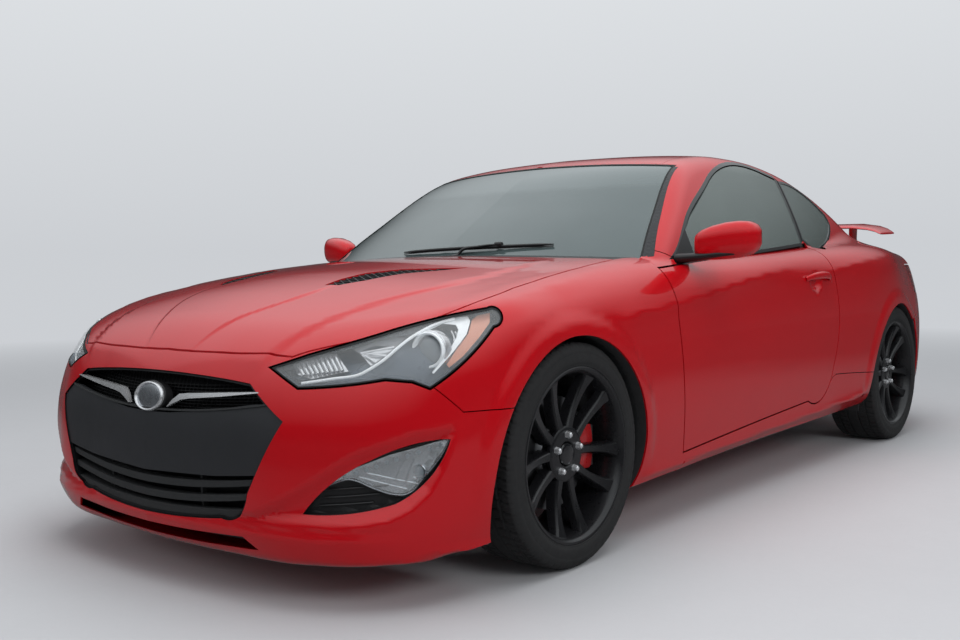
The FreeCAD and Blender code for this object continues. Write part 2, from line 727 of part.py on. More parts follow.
REAR_SEAT = [
    (560, 226), (560, 440), (600, 480, 660, 470), (930, 430), (1060, 880), (BULKHEAD_Y - 24, 890),
    (BULKHEAD_Y - 24, 226),
]
rear_seat = prism(REAR_SEAT, "x", -620, 620).cut(wells(LINER_THICK, WELL_INNER_X))
rear_seat = rear_seat.cut(box(-150, 150, 500, 1200, 0, 400))
save("rear_seat", largest(rear_seat))

# Exhaust
PIPE_Z = 262.0
exhaust = between(V(-90, -480, PIPE_Z), V(-90, 1160, PIPE_Z), 26)
runs = [
    between(V(-90, 1150, PIPE_Z), V(-215, 1225, PIPE_Z), 26),
    between(V(-215, 1215, PIPE_Z), V(-215, 1820, PIPE_Z), 26),
    box(-420, 420, 1800, 2080, 240, TRUNK_FLOOR_Z),
]
for x in (-560, 560):
    runs.append(Part.makeCylinder(40, 330, V(x, 1960, 285), Y_AXIS))
    runs.append(box(min(x, x * 0.7), max(x, x * 0.7), 1980, 2040, 265, 305))
exhaust = exhaust.fuse(runs)
save("exhaust", largest(exhaust))

# Suspension, knuckles and wheels
def revolve(points, x):
    edges = []
    here = V(x + points[0][0], 0, points[0][1])
    start = here
    for row in points[1:]:
        end = V(x + row[-2], 0, row[-1])
        if len(row) == 4:
            edges.append(arc(here, V(x + row[0], 0, row[1]), end))
        else:
            edges.append(seg(here, end))
        here = end
    edges.append(seg(here, start))
    face = Part.Face(Part.Wire(edges))
    return face.revolve(V(0, 0, 0), X_AXIS, 360)


def spoke_ring(face, y, z):
    """Cross section of a spoke whose outer face is at one place along the axle."""
    corners = [(face - 26, y - 13), (face, y - 11), (face, y + 11), (face - 26, y + 13), (face - 26, y - 13)]
    return Part.makePolygon([V(a, b, z) for a, b in corners])


def wheel(track, width, radius):
    """Rim with hub and disc, and its tyre, about the x axis at the left wheel's place."""
    centre = track / 2
    half = width / 2 - 4
    rim = revolve(
        [
            (-half, RIM_RADIUS), (-half + RIM_FLANGE, RIM_RADIUS), (-half + RIM_FLANGE, RIM_SEAT),
            (half - RIM_FLANGE, RIM_SEAT), (half - RIM_FLANGE, RIM_RADIUS), (half, RIM_RADIUS),
            (half, RIM_SEAT - RIM_WALL), (-half, RIM_SEAT - RIM_WALL),
        ],
        centre,
    )
    face_x = centre + half - HUB_FACE_DISH
    pieces = [
        Part.makeCylinder(HUB_RADIUS, face_x - centre + 10, V(centre - 10, 0, 0), X_AXIS),
        Part.makeCylinder(BRAKE_RADIUS, BRAKE_THICK, V(centre - 10, 0, 0), X_AXIS),
    ]
    barrel = tube_x(RIM_SEAT - 1, centre - half, centre + half, 0, 0)
    for i in range(SPOKE_PAIRS):
        for side in (-1, 1):
            root = spoke_ring(face_x, side * SPOKE_ROOT, 50)
            tip = spoke_ring(centre + half - 12, side * SPOKE_TIP, 233)
            spoke = Part.makeLoft([root, tip], True, True)
            spoke.rotate(V(0, 0, 0), X_AXIS, (i + 0.5) * 360 / SPOKE_PAIRS)
            pieces.append(spoke.common(barrel))
        a = math.radians(i * 360 / SPOKE_PAIRS)
        spot = V(face_x, BOLT_CIRCLE * math.sin(a), BOLT_CIRCLE * math.cos(a))
        pieces.append(Part.makeCylinder(11, 14, spot, X_AXIS))
    bore = Part.makeCylinder(HUB_BORE + SHAFT_CLEARANCE, 62, V(centre - 10, 0, 0), X_AXIS)
    rim = rim.fuse(pieces).cut(bore)
    w = width / 2
    seat = half - RIM_FLANGE
    tyre = revolve(
        [
            (-seat, RIM_SEAT), (seat, RIM_SEAT), (seat, RIM_RADIUS), (w, 285, w - 5, radius - 18),
            (w - 8, radius - 7, w - 20, radius - 2), (0, radius, -w + 20, radius - 2),
            (-w + 8, radius - 7, -w + 5, radius - 18), (-w, 285, -seat, RIM_RADIUS),
        ],
        centre,
    )
    return largest(rim), largest(tyre)


front_rim, front_tyre = wheel(FRONT_TRACK, FRONT_TYRE_WIDTH, FRONT_TYRE_RADIUS)
rear_rim, rear_tyre = wheel(REAR_TRACK, REAR_TYRE_WIDTH, REAR_TYRE_RADIUS)


def placed(shape, y, z):
    return shape.translated(V(0, y, z))


for name, rim, tyre, y, z in (
    ("front", front_rim, front_tyre, FRONT_AXLE_Y, front_hub_z),
    ("rear", rear_rim, rear_tyre, REAR_AXLE_Y, rear_hub_z),
):
    save("rim_" + name + "_left", placed(rim, y, z))
    save("rim_" + name + "_right", mirrored(placed(rim, y, z)))
    save("tyre_" + name + "_left", placed(tyre, y, z))
    save("tyre_" + name + "_right", mirrored(placed(tyre, y, z)))


def carrier(track, low, high):
    """Hub carrier with stub axle and caliper about the origin of its wheel."""
    centre = track / 2
    pin_x = centre - KINGPIN_INBOARD
    post = Part.makeCylinder(16, high - low, V(pin_x, 0, low), Z_AXIS)
    boss = Part.makeCylinder(52, 40, V(pin_x - 20, 0, 0), X_AXIS)
    stub = Part.makeCylinder(HUB_BORE, 75, V(pin_x + 10, 0, 0), X_AXIS)
    caliper = box(centre - 28, centre + 36, 92, 182, -62, 62)
    slot = Part.makeCylinder(BRAKE_RADIUS + 5, BRAKE_THICK + 10, V(centre - 15, 0, 0), X_AXIS)
    caliper = caliper.cut(slot)
    bracket = box(pin_x - 12, centre - 22, 0, 110, -30, 30)
    return largest(post.fuse([boss, stub, bracket, caliper]))


knuckle = placed(carrier(FRONT_TRACK, -(JOINT_REACH - 60), JOINT_REACH), FRONT_AXLE_Y, front_hub_z)
save("knuckle_left", knuckle)
save("knuckle_right", mirrored(knuckle))

low_z = front_hub_z - (JOINT_REACH - 60)
high_z = front_hub_z + JOINT_REACH
pin_x = FRONT_TRACK / 2 - KINGPIN_INBOARD
ya = FRONT_AXLE_Y
well = tube_x(FRONT_ARCH_RADIUS, 300, 1000, FRONT_AXLE_Y, front_arch_z)
front_arms = []
for side in (1, -1):
    damper = Part.makeCylinder(28, 600, V(600, ya, low_z - 20), Z_AXIS).common(well)
    arm = box(430, 705, ya - 30, ya + 30, low_z - 22, low_z)
    upper_arm = box(590, 705, ya - 24, ya + 24, high_z, high_z + 18)
    tips = []
    for z, thick in ((low_z - 22, 22), (high_z, 18)):
        tips.append(box(695, pin_x, ya - 13, ya + 13, z, z + thick))
        tips.append(Part.makeCylinder(13, thick, V(pin_x, ya, z), Z_AXIS))
    half = damper.fuse([arm, upper_arm] + tips)
    front_arms.append(half if side > 0 else mirrored(half))
front_suspension = box(-440, 440, ya - 50, ya + 50, low_z - 22, low_z + 30).fuse(front_arms)
upright = box(440, 500, ya - 40, ya + 40, low_z - 22, 300)
uprights = [upright, mirrored(upright)]
front_suspension = front_suspension.fuse(uprights)
save("front_suspension", largest(front_suspension))

yr = REAR_AXLE_Y
rear_parts = [box(-130, 130, yr - 110, yr + 90, 245, 385)]
rear_parts.append(between(V(0, -500, 300), V(0, yr - 100, 300), 32))
rear_well = tube_x(REAR_ARCH_RADIUS, 300, 1000, yr, rear_arch_z)
for side in (1, -1):
    hub_carrier = placed(carrier(REAR_TRACK, -120, 120), yr, rear_hub_z)
    half_shaft = between(V(100, yr, 320), V(760, yr, rear_hub_z), 16)
    arm = box(400, 770, yr - 25, yr + 25, rear_hub_z - 140, rear_hub_z - 116)
    plate = box(400, 440, yr - 60, yr + 60, rear_hub_z - 140, TRUNK_FLOOR_Z)
    damper = Part.makeCylinder(28, 700, V(590, yr + 40, rear_hub_z - 130), Z_AXIS).common(rear_well)
    side_arm = box(560, 620, yr - 25, yr + 70, rear_hub_z - 140, rear_hub_z - 116)
    half = hub_carrier.fuse([half_shaft, arm, plate, damper, side_arm])
    rear_parts.append(half if side > 0 else mirrored(half))
rear_suspension = box(-440, 440, yr - 35, yr + 35, 350, TRUNK_FLOOR_Z).fuse(rear_parts)
save("rear_suspension", largest(rear_suspension))
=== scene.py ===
import math

import bmesh
import bpy
import numpy as np
from mathutils import Matrix, Vector


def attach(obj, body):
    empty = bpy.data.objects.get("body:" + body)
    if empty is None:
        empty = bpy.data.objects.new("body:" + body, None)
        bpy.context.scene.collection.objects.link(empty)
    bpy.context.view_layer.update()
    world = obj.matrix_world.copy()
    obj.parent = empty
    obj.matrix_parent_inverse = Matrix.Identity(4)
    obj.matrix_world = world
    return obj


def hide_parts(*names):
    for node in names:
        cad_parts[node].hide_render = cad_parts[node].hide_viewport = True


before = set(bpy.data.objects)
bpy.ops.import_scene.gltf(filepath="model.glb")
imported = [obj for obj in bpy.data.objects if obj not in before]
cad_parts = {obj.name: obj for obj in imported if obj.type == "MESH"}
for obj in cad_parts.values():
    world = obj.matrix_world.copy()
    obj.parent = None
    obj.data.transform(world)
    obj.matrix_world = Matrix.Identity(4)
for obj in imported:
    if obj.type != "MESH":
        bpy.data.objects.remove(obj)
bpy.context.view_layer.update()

DIAGONAL = math.sqrt(0.5)
FINE = 0.75

# Driving sizes in metres, as on the car
LENGTH = 4.630
NOSE_Y = -LENGTH / 2
TAIL_Y = LENGTH / 2
FRONT_AXLE_Y = NOSE_Y + 0.850
REAR_AXLE_Y = FRONT_AXLE_Y + 2.820
FRONT_TYRE_R = 0.331
REAR_TYRE_R = 0.333
FRONT_ARCH_R = 0.382
REAR_ARCH_R = 0.372
FRONT_ARCH_Z = FRONT_TYRE_R - 0.033
REAR_ARCH_Z = REAR_TYRE_R - 0.025
SHUT_GAP = 0.005
DOOR_GAP = 0.006
SKIN = 0.006

# Lower body sections: y, sill x, sill z, waist x, waist z, shoulder x, shoulder z, crown x, crown z, centre z
SECTIONS = [
    (-2.400, 0.780, 0.100, 0.850, 0.330, 0.790, 0.530, 0.600, 0.555, 0.570),
    (-2.100, 0.820, 0.115, 0.880, 0.400, 0.840, 0.620, 0.670, 0.692, 0.742),
    (-1.800, 0.860, 0.135, 0.915, 0.440, 0.888, 0.715, 0.720, 0.786, 0.840),
    (-1.465, 0.885, 0.150, 0.930, 0.470, 0.900, 0.745, 0.740, 0.846, 0.889),
    (-1.000, 0.875, 0.165, 0.915, 0.490, 0.890, 0.770, 0.775, 0.897, 0.928),
    (-0.300, 0.865, 0.180, 0.903, 0.500, 0.884, 0.795, 0.800, 0.915, 0.950),
    (0.500, 0.872, 0.190, 0.910, 0.520, 0.890, 0.825, 0.800, 0.950, 0.985),
    (1.355, 0.890, 0.205, 0.9325, 0.550, 0.900, 0.850, 0.780, 0.972, 1.020),
    (1.850, 0.865, 0.215, 0.888, 0.560, 0.808, 0.830, 0.695, 0.955, 1.000),
    (2.400, 0.780, 0.240, 0.800, 0.580, 0.730, 0.800, 0.610, 0.920, 0.965),
]
SIDE_RISE = (0.010, 0.008, 0.026)
# Nose and tail: level z, nose set-back, tail set-forward
LEVELS = [
    (0.060, 0.095, 0.150),
    (0.200, 0.016, 0.070),
    (0.350, 0.004, 0.025),
    (0.500, 0.020, 0.003),
    (0.640, 0.078, 0.000),
    (0.800, 0.210, 0.018),
    (1.080, 0.480, 0.075),
]
NOSE_PLAN = [(0.0, 0.0), (0.28, 0.0155), (0.56, 0.062), (0.80, 0.215), (0.955, 0.450)]
TAIL_PLAN = [(0.0, 0.0), (0.30, 0.0155), (0.60, 0.065), (0.79, 0.22), (0.90, 0.50)]
# Greenhouse profile along the middle, and how it falls away sideways: x, screen back, roof drop,
# rear window forward
PROFILE = [(-1.133, 0.860), (-0.760, 1.100), (-0.394, 1.298), (-0.12, 1.348), (0.190, 1.360),
           (0.520, 1.347), (0.830, 1.303), (1.270, 1.165), (1.700, 0.940)]
FALL = [(0.0, 0.0, 0.0, 0.0), (0.560, 0.055, 0.026, 0.045), (0.840, 0.150, 0.066, 0.120)]
TUMBLEHOME = [(-1.300, 0.806, 0.592), (-0.300, 0.818, 0.604), (0.600, 0.800, 0.590), (1.250, 0.745, 0.525),
              (2.000, 0.640, 0.430)]
BELT_Z = 0.880
RAIL_Z = 1.310
SPINE_Z = 0.50


def curve(xs, ys):
    """Smooth interpolating function through points, straight beyond its ends."""
    xs = np.array(xs, float)
    ys = np.array(ys, float)
    step = np.diff(xs)
    slope = np.diff(ys) / step
    tangent = np.empty_like(ys)
    tangent[1:-1] = (step[:-1] * slope[1:] + step[1:] * slope[:-1]) / (step[:-1] + step[1:])
    tangent[0] = 1.5 * slope[0] - 0.5 * tangent[1] if len(xs) > 2 else slope[0]
    tangent[-1] = 1.5 * slope[-1] - 0.5 * tangent[-2] if len(xs) > 2 else slope[-1]

    def value(x):
        x = np.asarray(x, float)
        i = np.clip(np.searchsorted(xs, x) - 1, 0, len(step) - 1)
        t = (x - xs[i]) / step[i]
        u = np.clip(t, 0, 1)
        h = step[i]
        y = ((1 + 2 * u) * (1 - u) ** 2 * ys[i] + u * (1 - u) ** 2 * h * tangent[i]
             + u * u * (3 - 2 * u) * ys[i + 1] + u * u * (u - 1) * h * tangent[i + 1])
        return y + np.where(t < 0, t * h * tangent[i], 0) + np.where(t > 1, (t - 1) * h * tangent[i + 1], 0)

    return value


def line_at(points, column=1):
    """Value in a column, read smoothly along a table of rows that start with their place."""
    return curve([p[0] for p in points], [p[column] for p in points])


def turn_steps(n):
    """Angles of n even steps round a full turn."""
    return np.linspace(0, math.tau, n, endpoint=False)


def squircle(a, power):
    """Radius of a rounded square of half width one, by angle."""
    return (np.abs(np.cos(a)) ** power + np.abs(np.sin(a)) ** power) ** (-1 / power)


def smooth_max(a, b, k):
    h = np.maximum(k - np.abs(a - b), 0) / k
    return np.maximum(a, b) + h * h * k / 4


def smooth_min(a, b, k):
    return -smooth_max(-a, -b, k)


def ramp(x, a, b):
    t = np.clip((x - a) / (b - a), 0, 1)
    return t * t * (3 - 2 * t)


def bulge_mid(a, b, rise):
    d = b - a
    return (a + b) / 2 + np.array([d[1], -d[0]]) * (rise / np.hypot(*d))


def arc_points(a, m, b, n=24):
    """Points of the circle through three 2-D points, from the first to the last."""
    a, m, b = (np.array(p, float) for p in (a, m, b))
    ax, ay = a
    bx, by = m
    cx, cy = b
    d = 2 * (ax * (by - cy) + bx * (cy - ay) + cx * (ay - by))
    if abs(d) < 1e-12:
        return [a + (b - a) * t for t in np.linspace(0, 1, 3)]
    ux = ((ax * ax + ay * ay) * (by - cy) + (bx * bx + by * by) * (cy - ay)
          + (cx * cx + cy * cy) * (ay - by)) / d
    uy = ((ax * ax + ay * ay) * (cx - bx) + (bx * bx + by * by) * (ax - cx)
          + (cx * cx + cy * cy) * (bx - ax)) / d
    r = math.hypot(ax - ux, ay - uy)
    t0, t1, t2 = (math.atan2(p[1] - uy, p[0] - ux) for p in (a, m, b))
    span = (t2 - t0) % math.tau
    if (t1 - t0) % math.tau > span:
        span -= math.tau
    return [np.array([ux + r * math.cos(t0 + span * i / n), uy + r * math.sin(t0 + span * i / n)])
            for i in range(n + 1)]


# Polar table of the lower body about the spine: radius by station and angle
ANGLES = np.radians(np.linspace(-90, 90, 361))


def section_radii(row):
    _, sx, sz, wx, wz, hx, hz, cx, cz, top = row
    pts = [np.array(p) for p in ((sx, sz), (wx, wz), (hx, hz), (cx, cz))]
    line = [np.array([0.0, sz])] + [np.array([sx * t, sz]) for t in (0.3, 0.6, 0.9)]
    for a, b, rise in zip(pts, pts[1:], SIDE_RISE):
        line += arc_points(a, bulge_mid(a, b, rise), b)
    line += arc_points(pts[-1], (0.0, top), (-pts[-1][0], pts[-1][1]))[:13]
    line = np.array(line)
    angle = np.arctan2(line[:, 1] - SPINE_Z, line[:, 0])
    radius = np.hypot(line[:, 1] - SPINE_Z, line[:, 0])
    dense_a = []
    dense_r = []
    for p, q in zip(line, line[1:]):
        for t in np.linspace(0, 1, 12, endpoint=False):
            m = p + (q - p) * t
            dense_a.append(math.atan2(m[1] - SPINE_Z, m[0]))
            dense_r.append(math.hypot(m[1] - SPINE_Z, m[0]))
    order = np.argsort(dense_a)
    raw = np.interp(ANGLES, np.array(dense_a)[order], np.array(dense_r)[order])
    kernel = np.exp(-0.5 * (np.arange(-14, 15) / 5.0) ** 2)
    kernel /= kernel.sum()
    padded = np.concatenate([raw[14:0:-1], raw, raw[-2:-16:-1]])
    soft = np.convolve(padded, kernel, "valid")
    keep = ramp(np.degrees(ANGLES), -24, -16)
    return raw * (1 - keep) + soft * keep


STATION_Y = np.array([row[0] for row in SECTIONS])
RADII = np.array([section_radii(row) for row in SECTIONS])
FINE_Y = np.linspace(-2.4, 2.4, 481)
FINE_RADII = np.array([curve(STATION_Y, RADII[:, j])(FINE_Y) for j in range(len(ANGLES))]).T
nose_back, tail_forward = (line_at(LEVELS, k) for k in (1, 2))
nose_plan, tail_plan, profile = (line_at(points) for points in (NOSE_PLAN, TAIL_PLAN, PROFILE))
screen_back, roof_drop, rear_forward = (line_at(FALL, k) for k in (1, 2, 3))
belt_x, rail_x = (line_at(TUMBLEHOME, k) for k in (1, 2))


def table_radius(y, angle):
    i = np.clip((y + 2.4) / 0.01, 0, 479.999)
    j = np.clip((np.degrees(angle) + 90) / 0.5, 0, 359.999)
    i0 = i.astype(int)
    j0 = j.astype(int)
    fi = i - i0
    fj = j - j0
    a = FINE_RADII[i0, j0] * (1 - fj) + FINE_RADII[i0, j0 + 1] * fj
    b = FINE_RADII[i0 + 1, j0] * (1 - fj) + FINE_RADII[i0 + 1, j0 + 1] * fj
    return a * (1 - fi) + b * fi


# Forms on the skin: hood fold by station, hood centre fold, fender ridge angle, flank fold
# and hip fold heights
hood_fold = line_at([(-2.25, 0.405), (-2.16, 0.445), (-2.05, 0.485), (-1.90, 0.535), (-1.75, 0.585),
                     (-1.60, 0.612), (-1.36, 0.600), (-1.10, 0.570)])
vee_fold = line_at([(-2.20, 0.120), (-2.10, 0.178), (-2.00, 0.238), (-1.90, 0.268), (-1.80, 0.278),
                    (-1.70, 0.290)])
ridge_angle = line_at([(-1.95, 17.0), (-1.743, 18.7), (-1.547, 20.7), (-1.327, 23.0), (-1.151, 25.5),
                       (-0.894, 29.9)])
flank_fold = line_at([(-1.30, 0.702), (-1.232, 0.714), (-0.970, 0.740), (-0.682, 0.768), (-0.252, 0.826),
                      (0.300, 0.876)])
hip_fold = line_at([(0.10, 0.800), (0.541, 0.847), (0.914, 0.890), (1.400, 0.925), (1.761, 0.930),
                    (2.00, 0.925)])
skirt_fold = line_at([(-1.15, 0.196), (-0.70, 0.208), (0.0, 0.232), (0.60, 0.256), (1.00, 0.275)])
# Outline of the sunk field round the fog lamp, in the corner plane
SCOOP = np.array([(-1.420, 0.212), (-1.171, 0.219), (-1.042, 0.224), (-0.946, 0.239), (-0.882, 0.267),
                  (-0.833, 0.309), (-0.797, 0.366), (-0.766, 0.455), (-0.776, 0.482), (-0.880, 0.476),
                  (-1.039, 0.424), (-1.150, 0.350), (-1.300, 0.262), (-1.420, 0.240)])


def inside_distance(outline, u, v):
    """Distance inside an outline, nought outside it."""
    best = np.full(u.shape, 1e9)
    inside = np.zeros(u.shape, bool)
    for (u0, v0), (u1, v1) in zip(outline, np.roll(outline, -1, 0)):
        du = u1 - u0
        dv = v1 - v0
        t = np.clip(((u - u0) * du + (v - v0) * dv) / (du * du + dv * dv), 0, 1)
        best = np.minimum(best, (u - u0 - t * du) ** 2 + (v - v0 - t * dv) ** 2)
        crosses = (v0 > v) != (v1 > v)
        if dv:
            inside ^= crosses & (u < u0 + (v - v0) / dv * du)
    return np.where(inside, np.sqrt(best), 0.0)


def fold(distance, high, low):
    """Ridge with a sharp crest: falls off over one length above it and another below."""
    scale = np.where(distance > 0, high, low)
    return np.exp(0.08 - np.sqrt((distance / scale) ** 2 + 0.0064))


def body_forms(x, y, z):
    """Height of the raised and sunk forms on the lower body."""
    h = np.zeros_like(x)
    front = np.hypot(y - FRONT_AXLE_Y, z - FRONT_ARCH_Z)
    rear = np.hypot(y - REAR_AXLE_Y, z - REAR_ARCH_Z)
    side = ramp(x, 0.70, 0.80)
    h += 0.007 * side * (1 - ramp(np.abs(front - FRONT_ARCH_R - 0.018), 0.010, 0.055)) * ramp(z, 0.2, 0.35)
    h += 0.007 * side * (1 - ramp(np.abs(rear - REAR_ARCH_R - 0.018), 0.010, 0.065)) * ramp(z, 0.2, 0.35)
    on_hood = ramp(z, 0.58, 0.66) * (1 - ramp(x, 0.70, 0.76))
    fade = ramp(y, -2.27, -2.12) * (1 - ramp(y, -1.45, -1.08))
    h += on_hood * fade * (0.006 - 0.011 * ramp(x - hood_fold(y), -0.010, 0.022))
    fade = ramp(y, -2.25, -2.12) * (1 - ramp(y, -1.95, -1.72))
    h += on_hood * fade * 0.005 * (1 - ramp(x - vee_fold(y), -0.006, 0.012))
    angle = np.degrees(np.arctan2(z - SPINE_Z, x))
    fade = ramp(y, -1.98, -1.60) * (1 - ramp(y, -0.95, -0.80))
    h += 0.0065 * fade * fold(angle - ridge_angle(y), 3.4, 3.0)
    fade = side * ramp(y, -1.36, -1.10) * (1 - ramp(y, -0.25, 0.30)) * ramp(front - FRONT_ARCH_R, 0.03, 0.12)
    h += 0.0105 * fade * fold(z - flank_fold(y), 0.070, 0.045)
    fade = side * ramp(y, 0.15, 0.75) * (1 - ramp(y, 1.75, 2.05))
    h += 0.0085 * fade * fold(z - hip_fold(y), 0.050, 0.055)
    fade = side * ramp(y, -1.12, -1.0) * (1 - ramp(y, 0.86, 0.98))
    h += 0.015 * fade * fold(z - skirt_fold(y), 0.034, 0.022)
    cup = np.hypot((y - 0.362) / 0.062, (z - 0.798) / 0.045)
    h -= 0.016 * side * (1 - ramp(cup, 0.35, 1.0))
    low = (y < -1.5) & (z < 0.60)
    if low.any():
        xs = x[low]
        ys = y[low]
        zs = z[low]
        deep = inside_distance(SCOOP, (xs + ys) * DIAGONAL, zs)
        sunk = -0.020 * ramp(deep, 0.0, 0.050)
        lip = 0.010 * ramp(-zs, -0.222, -0.190) * (1 - ramp(xs, 0.62, 0.86)) * ramp(-ys, 1.85, 2.05)
        h[low] += sunk + lip
    return h


def lower_field(p):
    x = np.abs(p[..., 0])
    y = p[..., 1]
    z = p[..., 2]
    angle = np.arctan2(z - SPINE_Z, x)
    section = np.hypot(x, z - SPINE_Z) - table_radius(y, angle)
    nose = NOSE_Y + nose_back(z) + nose_plan(x) - y
    nose = nose / np.sqrt(1 + (1.7 * np.clip(x - 0.45, 0, 0.5) / 0.35) ** 2)
    tail = y - (TAIL_Y - tail_forward(z) - tail_plan(x))
    tail = tail / np.sqrt(1 + (1.7 * np.clip(x - 0.5, 0, 0.5) / 0.35) ** 2)
    f = smooth_max(section, nose, 0.07)
    f = smooth_max(f, tail, 0.06)
    return f - body_forms(x, y, z)


def roof_height(x, y):
    """Height of the greenhouse profile at a place across the car."""
    back = screen_back(x)
    forward = rear_forward(x)
    w = ramp(y, -0.5, 0.9)
    return profile(y - back * (1 - w) + forward * w) - roof_drop(x)


def greenhouse_field(p):
    x = np.abs(p[..., 0])
    y = p[..., 1]
    z = p[..., 2]
    top = z - roof_height(x, y)
    slope = (roof_height(x, y + 0.01) - roof_height(x, y - 0.01)) / 0.02
    top = top / np.sqrt(1 + slope ** 2)
    t = (z - BELT_Z) / (RAIL_Z - BELT_Z)
    lean = belt_x(y) + (rail_x(y) - belt_x(y)) * t + 0.056 * np.clip(t, 0, 1) * (1 - np.clip(t, 0, 1))
    side = (x - lean) / 1.11
    return smooth_max(top, side, 0.05)


def whole_field(p):
    k = 0.014 + 0.07 * ramp(p[..., 1], 0.7, 1.3)
    cabin = np.maximum(greenhouse_field(p), 0.74 - p[..., 2])
    return smooth_min(lower_field(p), cabin, k)


def gradient(field, p, step=0.0015):
    g = np.empty_like(p)
    for k in range(3):
        d = np.zeros(3)
        d[k] = step
        g[..., k] = field(p + d) - field(p - d)
    return g / np.maximum(np.linalg.norm(g, axis=-1, keepdims=True), 1e-12)


def cast(field, origin, direction, far=2.6, steps=26):
    """Outermost crossing of the field along rays that start inside."""
    low = np.zeros(direction.shape[:-1])
    high = np.full(direction.shape[:-1], far)
    for _ in range(steps):
        mid = (low + high) / 2
        inside = field(origin + direction * mid[..., None]) < 0
        low = np.where(inside, mid, low)
        high = np.where(inside, high, mid)
    return origin + direction * ((low + high) / 2)[..., None]


def barrel_grid(field, y0, y1, a0, a1, spacing, spine=SPINE_Z):
    """Surface points by station along y and angle about the spine."""
    ny = max(4, int((y1 - y0) / spacing * FINE) + 1)
    na = max(4, int(math.radians(abs(a1 - a0)) * 0.85 / spacing * FINE) + 1)
    y, a = np.meshgrid(np.linspace(y0, y1, ny), np.radians(np.linspace(a0, a1, na)), indexing="ij")
    origin = np.stack([np.zeros_like(y), y, np.full_like(y, spine)], -1)
    direction = np.stack([np.cos(a), np.zeros_like(a), np.sin(a)], -1)
    return cast(field, origin, direction, 1.4)


def globe_grid(field, centre, a0, a1, e0, e1, spacing, sign=-1):
    """Surface points by bearing and elevation about a point inside, for the nose or the tail."""
    na = max(4, int(math.radians(abs(a1 - a0)) * 0.9 / spacing * FINE) + 1)
    ne = max(4, int(math.radians(abs(e1 - e0)) * 0.8 / spacing * FINE) + 1)
    a, e = np.meshgrid(np.radians(np.linspace(a0, a1, na)), np.radians(np.linspace(e0, e1, ne)),
                       indexing="ij")
    direction = np.stack([np.sin(a) * np.cos(e), sign * np.cos(a) * np.cos(e), np.sin(e)], -1)
    return cast(field, np.array(centre, float), direction, 1.6)


def new_mesh(name, verts, faces):
    mesh = bpy.data.meshes.new(name)
    mesh.from_pydata([tuple(v) for v in np.asarray(verts).tolist()], [], faces)
    mesh.update()
    return mesh


def read(mesh, what="co"):
    """Places or normals of a mesh's points, one row each."""
    out = np.empty(len(mesh.vertices) * 3)
    mesh.vertices.foreach_get(what, out)
    return out.reshape(-1, 3)


def applied(obj):
    """Mesh of an object with its modifiers."""
    bpy.context.view_layer.update()
    graph = bpy.context.evaluated_depsgraph_get()
    return bpy.data.meshes.new_from_object(obj.evaluated_get(graph), depsgraph=graph)


def outward(mesh, triangles=False):
    """Turn all faces of a closed mesh to face out."""
    b = bmesh.new()
    b.from_mesh(mesh)
    bmesh.ops.recalc_face_normals(b, faces=b.faces)
    if b.calc_volume(signed=True) < 0:
        bmesh.ops.reverse_faces(b, faces=b.faces)
    if triangles:
        bmesh.ops.triangulate(b, faces=b.faces)
    b.to_mesh(mesh)
    b.free()
    return mesh


def new_object(name, mesh):
    obj = bpy.data.objects.new(name, mesh)
    bpy.context.scene.collection.objects.link(obj)
    return obj


def shell_mesh(name, field, grid, depth, thick):
    """Closed slab between two offsets of the surface, from depth to depth + thick below it."""
    normal = gradient(field, grid)
    n, m = grid.shape[:2]
    outer = (grid - normal * depth).reshape(-1, 3)
    inner = (grid - normal * (depth + thick)).reshape(-1, 3)
    verts = np.concatenate([outer, inner])
    idx = np.arange(n * m).reshape(n, m)
    a = idx[:-1, :-1].ravel()
    b = idx[1:, :-1].ravel()
    c = idx[1:, 1:].ravel()
    d = idx[:-1, 1:].ravel()
    off = n * m
    quads = np.stack([a, b, c, d], -1)
    p = outer[quads[0]]
    facing = np.cross(p[1] - p[0], p[2] - p[0]) @ normal.reshape(-1, 3)[quads[0][0]]
    if facing < 0:
        quads = quads[:, ::-1]
    faces = np.concatenate([quads, quads[:, ::-1] + off])
    rim = np.concatenate([idx[:, 0], idx[-1, 1:], idx[-2::-1, -1], idx[0, -2:0:-1]])
    nxt = np.roll(rim, -1)
    wall = np.stack([rim, nxt, nxt + off, rim + off], -1)
    if facing < 0:
        wall = wall[:, ::-1]
    return outward(new_mesh(name, verts, faces.tolist() + wall.tolist()))


def polyline(points, n=20):
    """2-D points of an outline; a row of four numbers is an arc through its first pair to its second."""
    out = [np.array(points[0][:2], float)]
    for row in points[1:]:
        if len(row) == 4:
            out += arc_points(out[-1], row[:2], row[2:], n)[1:]
        else:
            out.append(np.array(row, float))
    if np.hypot(*(out[0] - out[-1])) < 1e-7:
        out.pop()
    return np.array(out)


def grown(pts, d):
    """Outline moved outwards by a distance, corner by corner."""
    area = 0.5 * np.sum(pts[:, 0] * np.roll(pts[:, 1], -1) - np.roll(pts[:, 0], -1) * pts[:, 1])
    if area < 0:
        pts = pts[::-1]
    e = np.roll(pts, -1, 0) - pts
    e /= np.maximum(np.linalg.norm(e, axis=1, keepdims=True), 1e-12)
    out = np.stack([e[:, 1], -e[:, 0]], -1)
    prev = np.roll(out, 1, 0)
    mid = out + prev
    mid /= np.maximum(np.linalg.norm(mid, axis=1, keepdims=True), 1e-9)
    reach = np.clip(1 / np.maximum((mid * out).sum(1), 0.3), 1, 2.2)
    return pts + mid * (d * reach)[:, None]


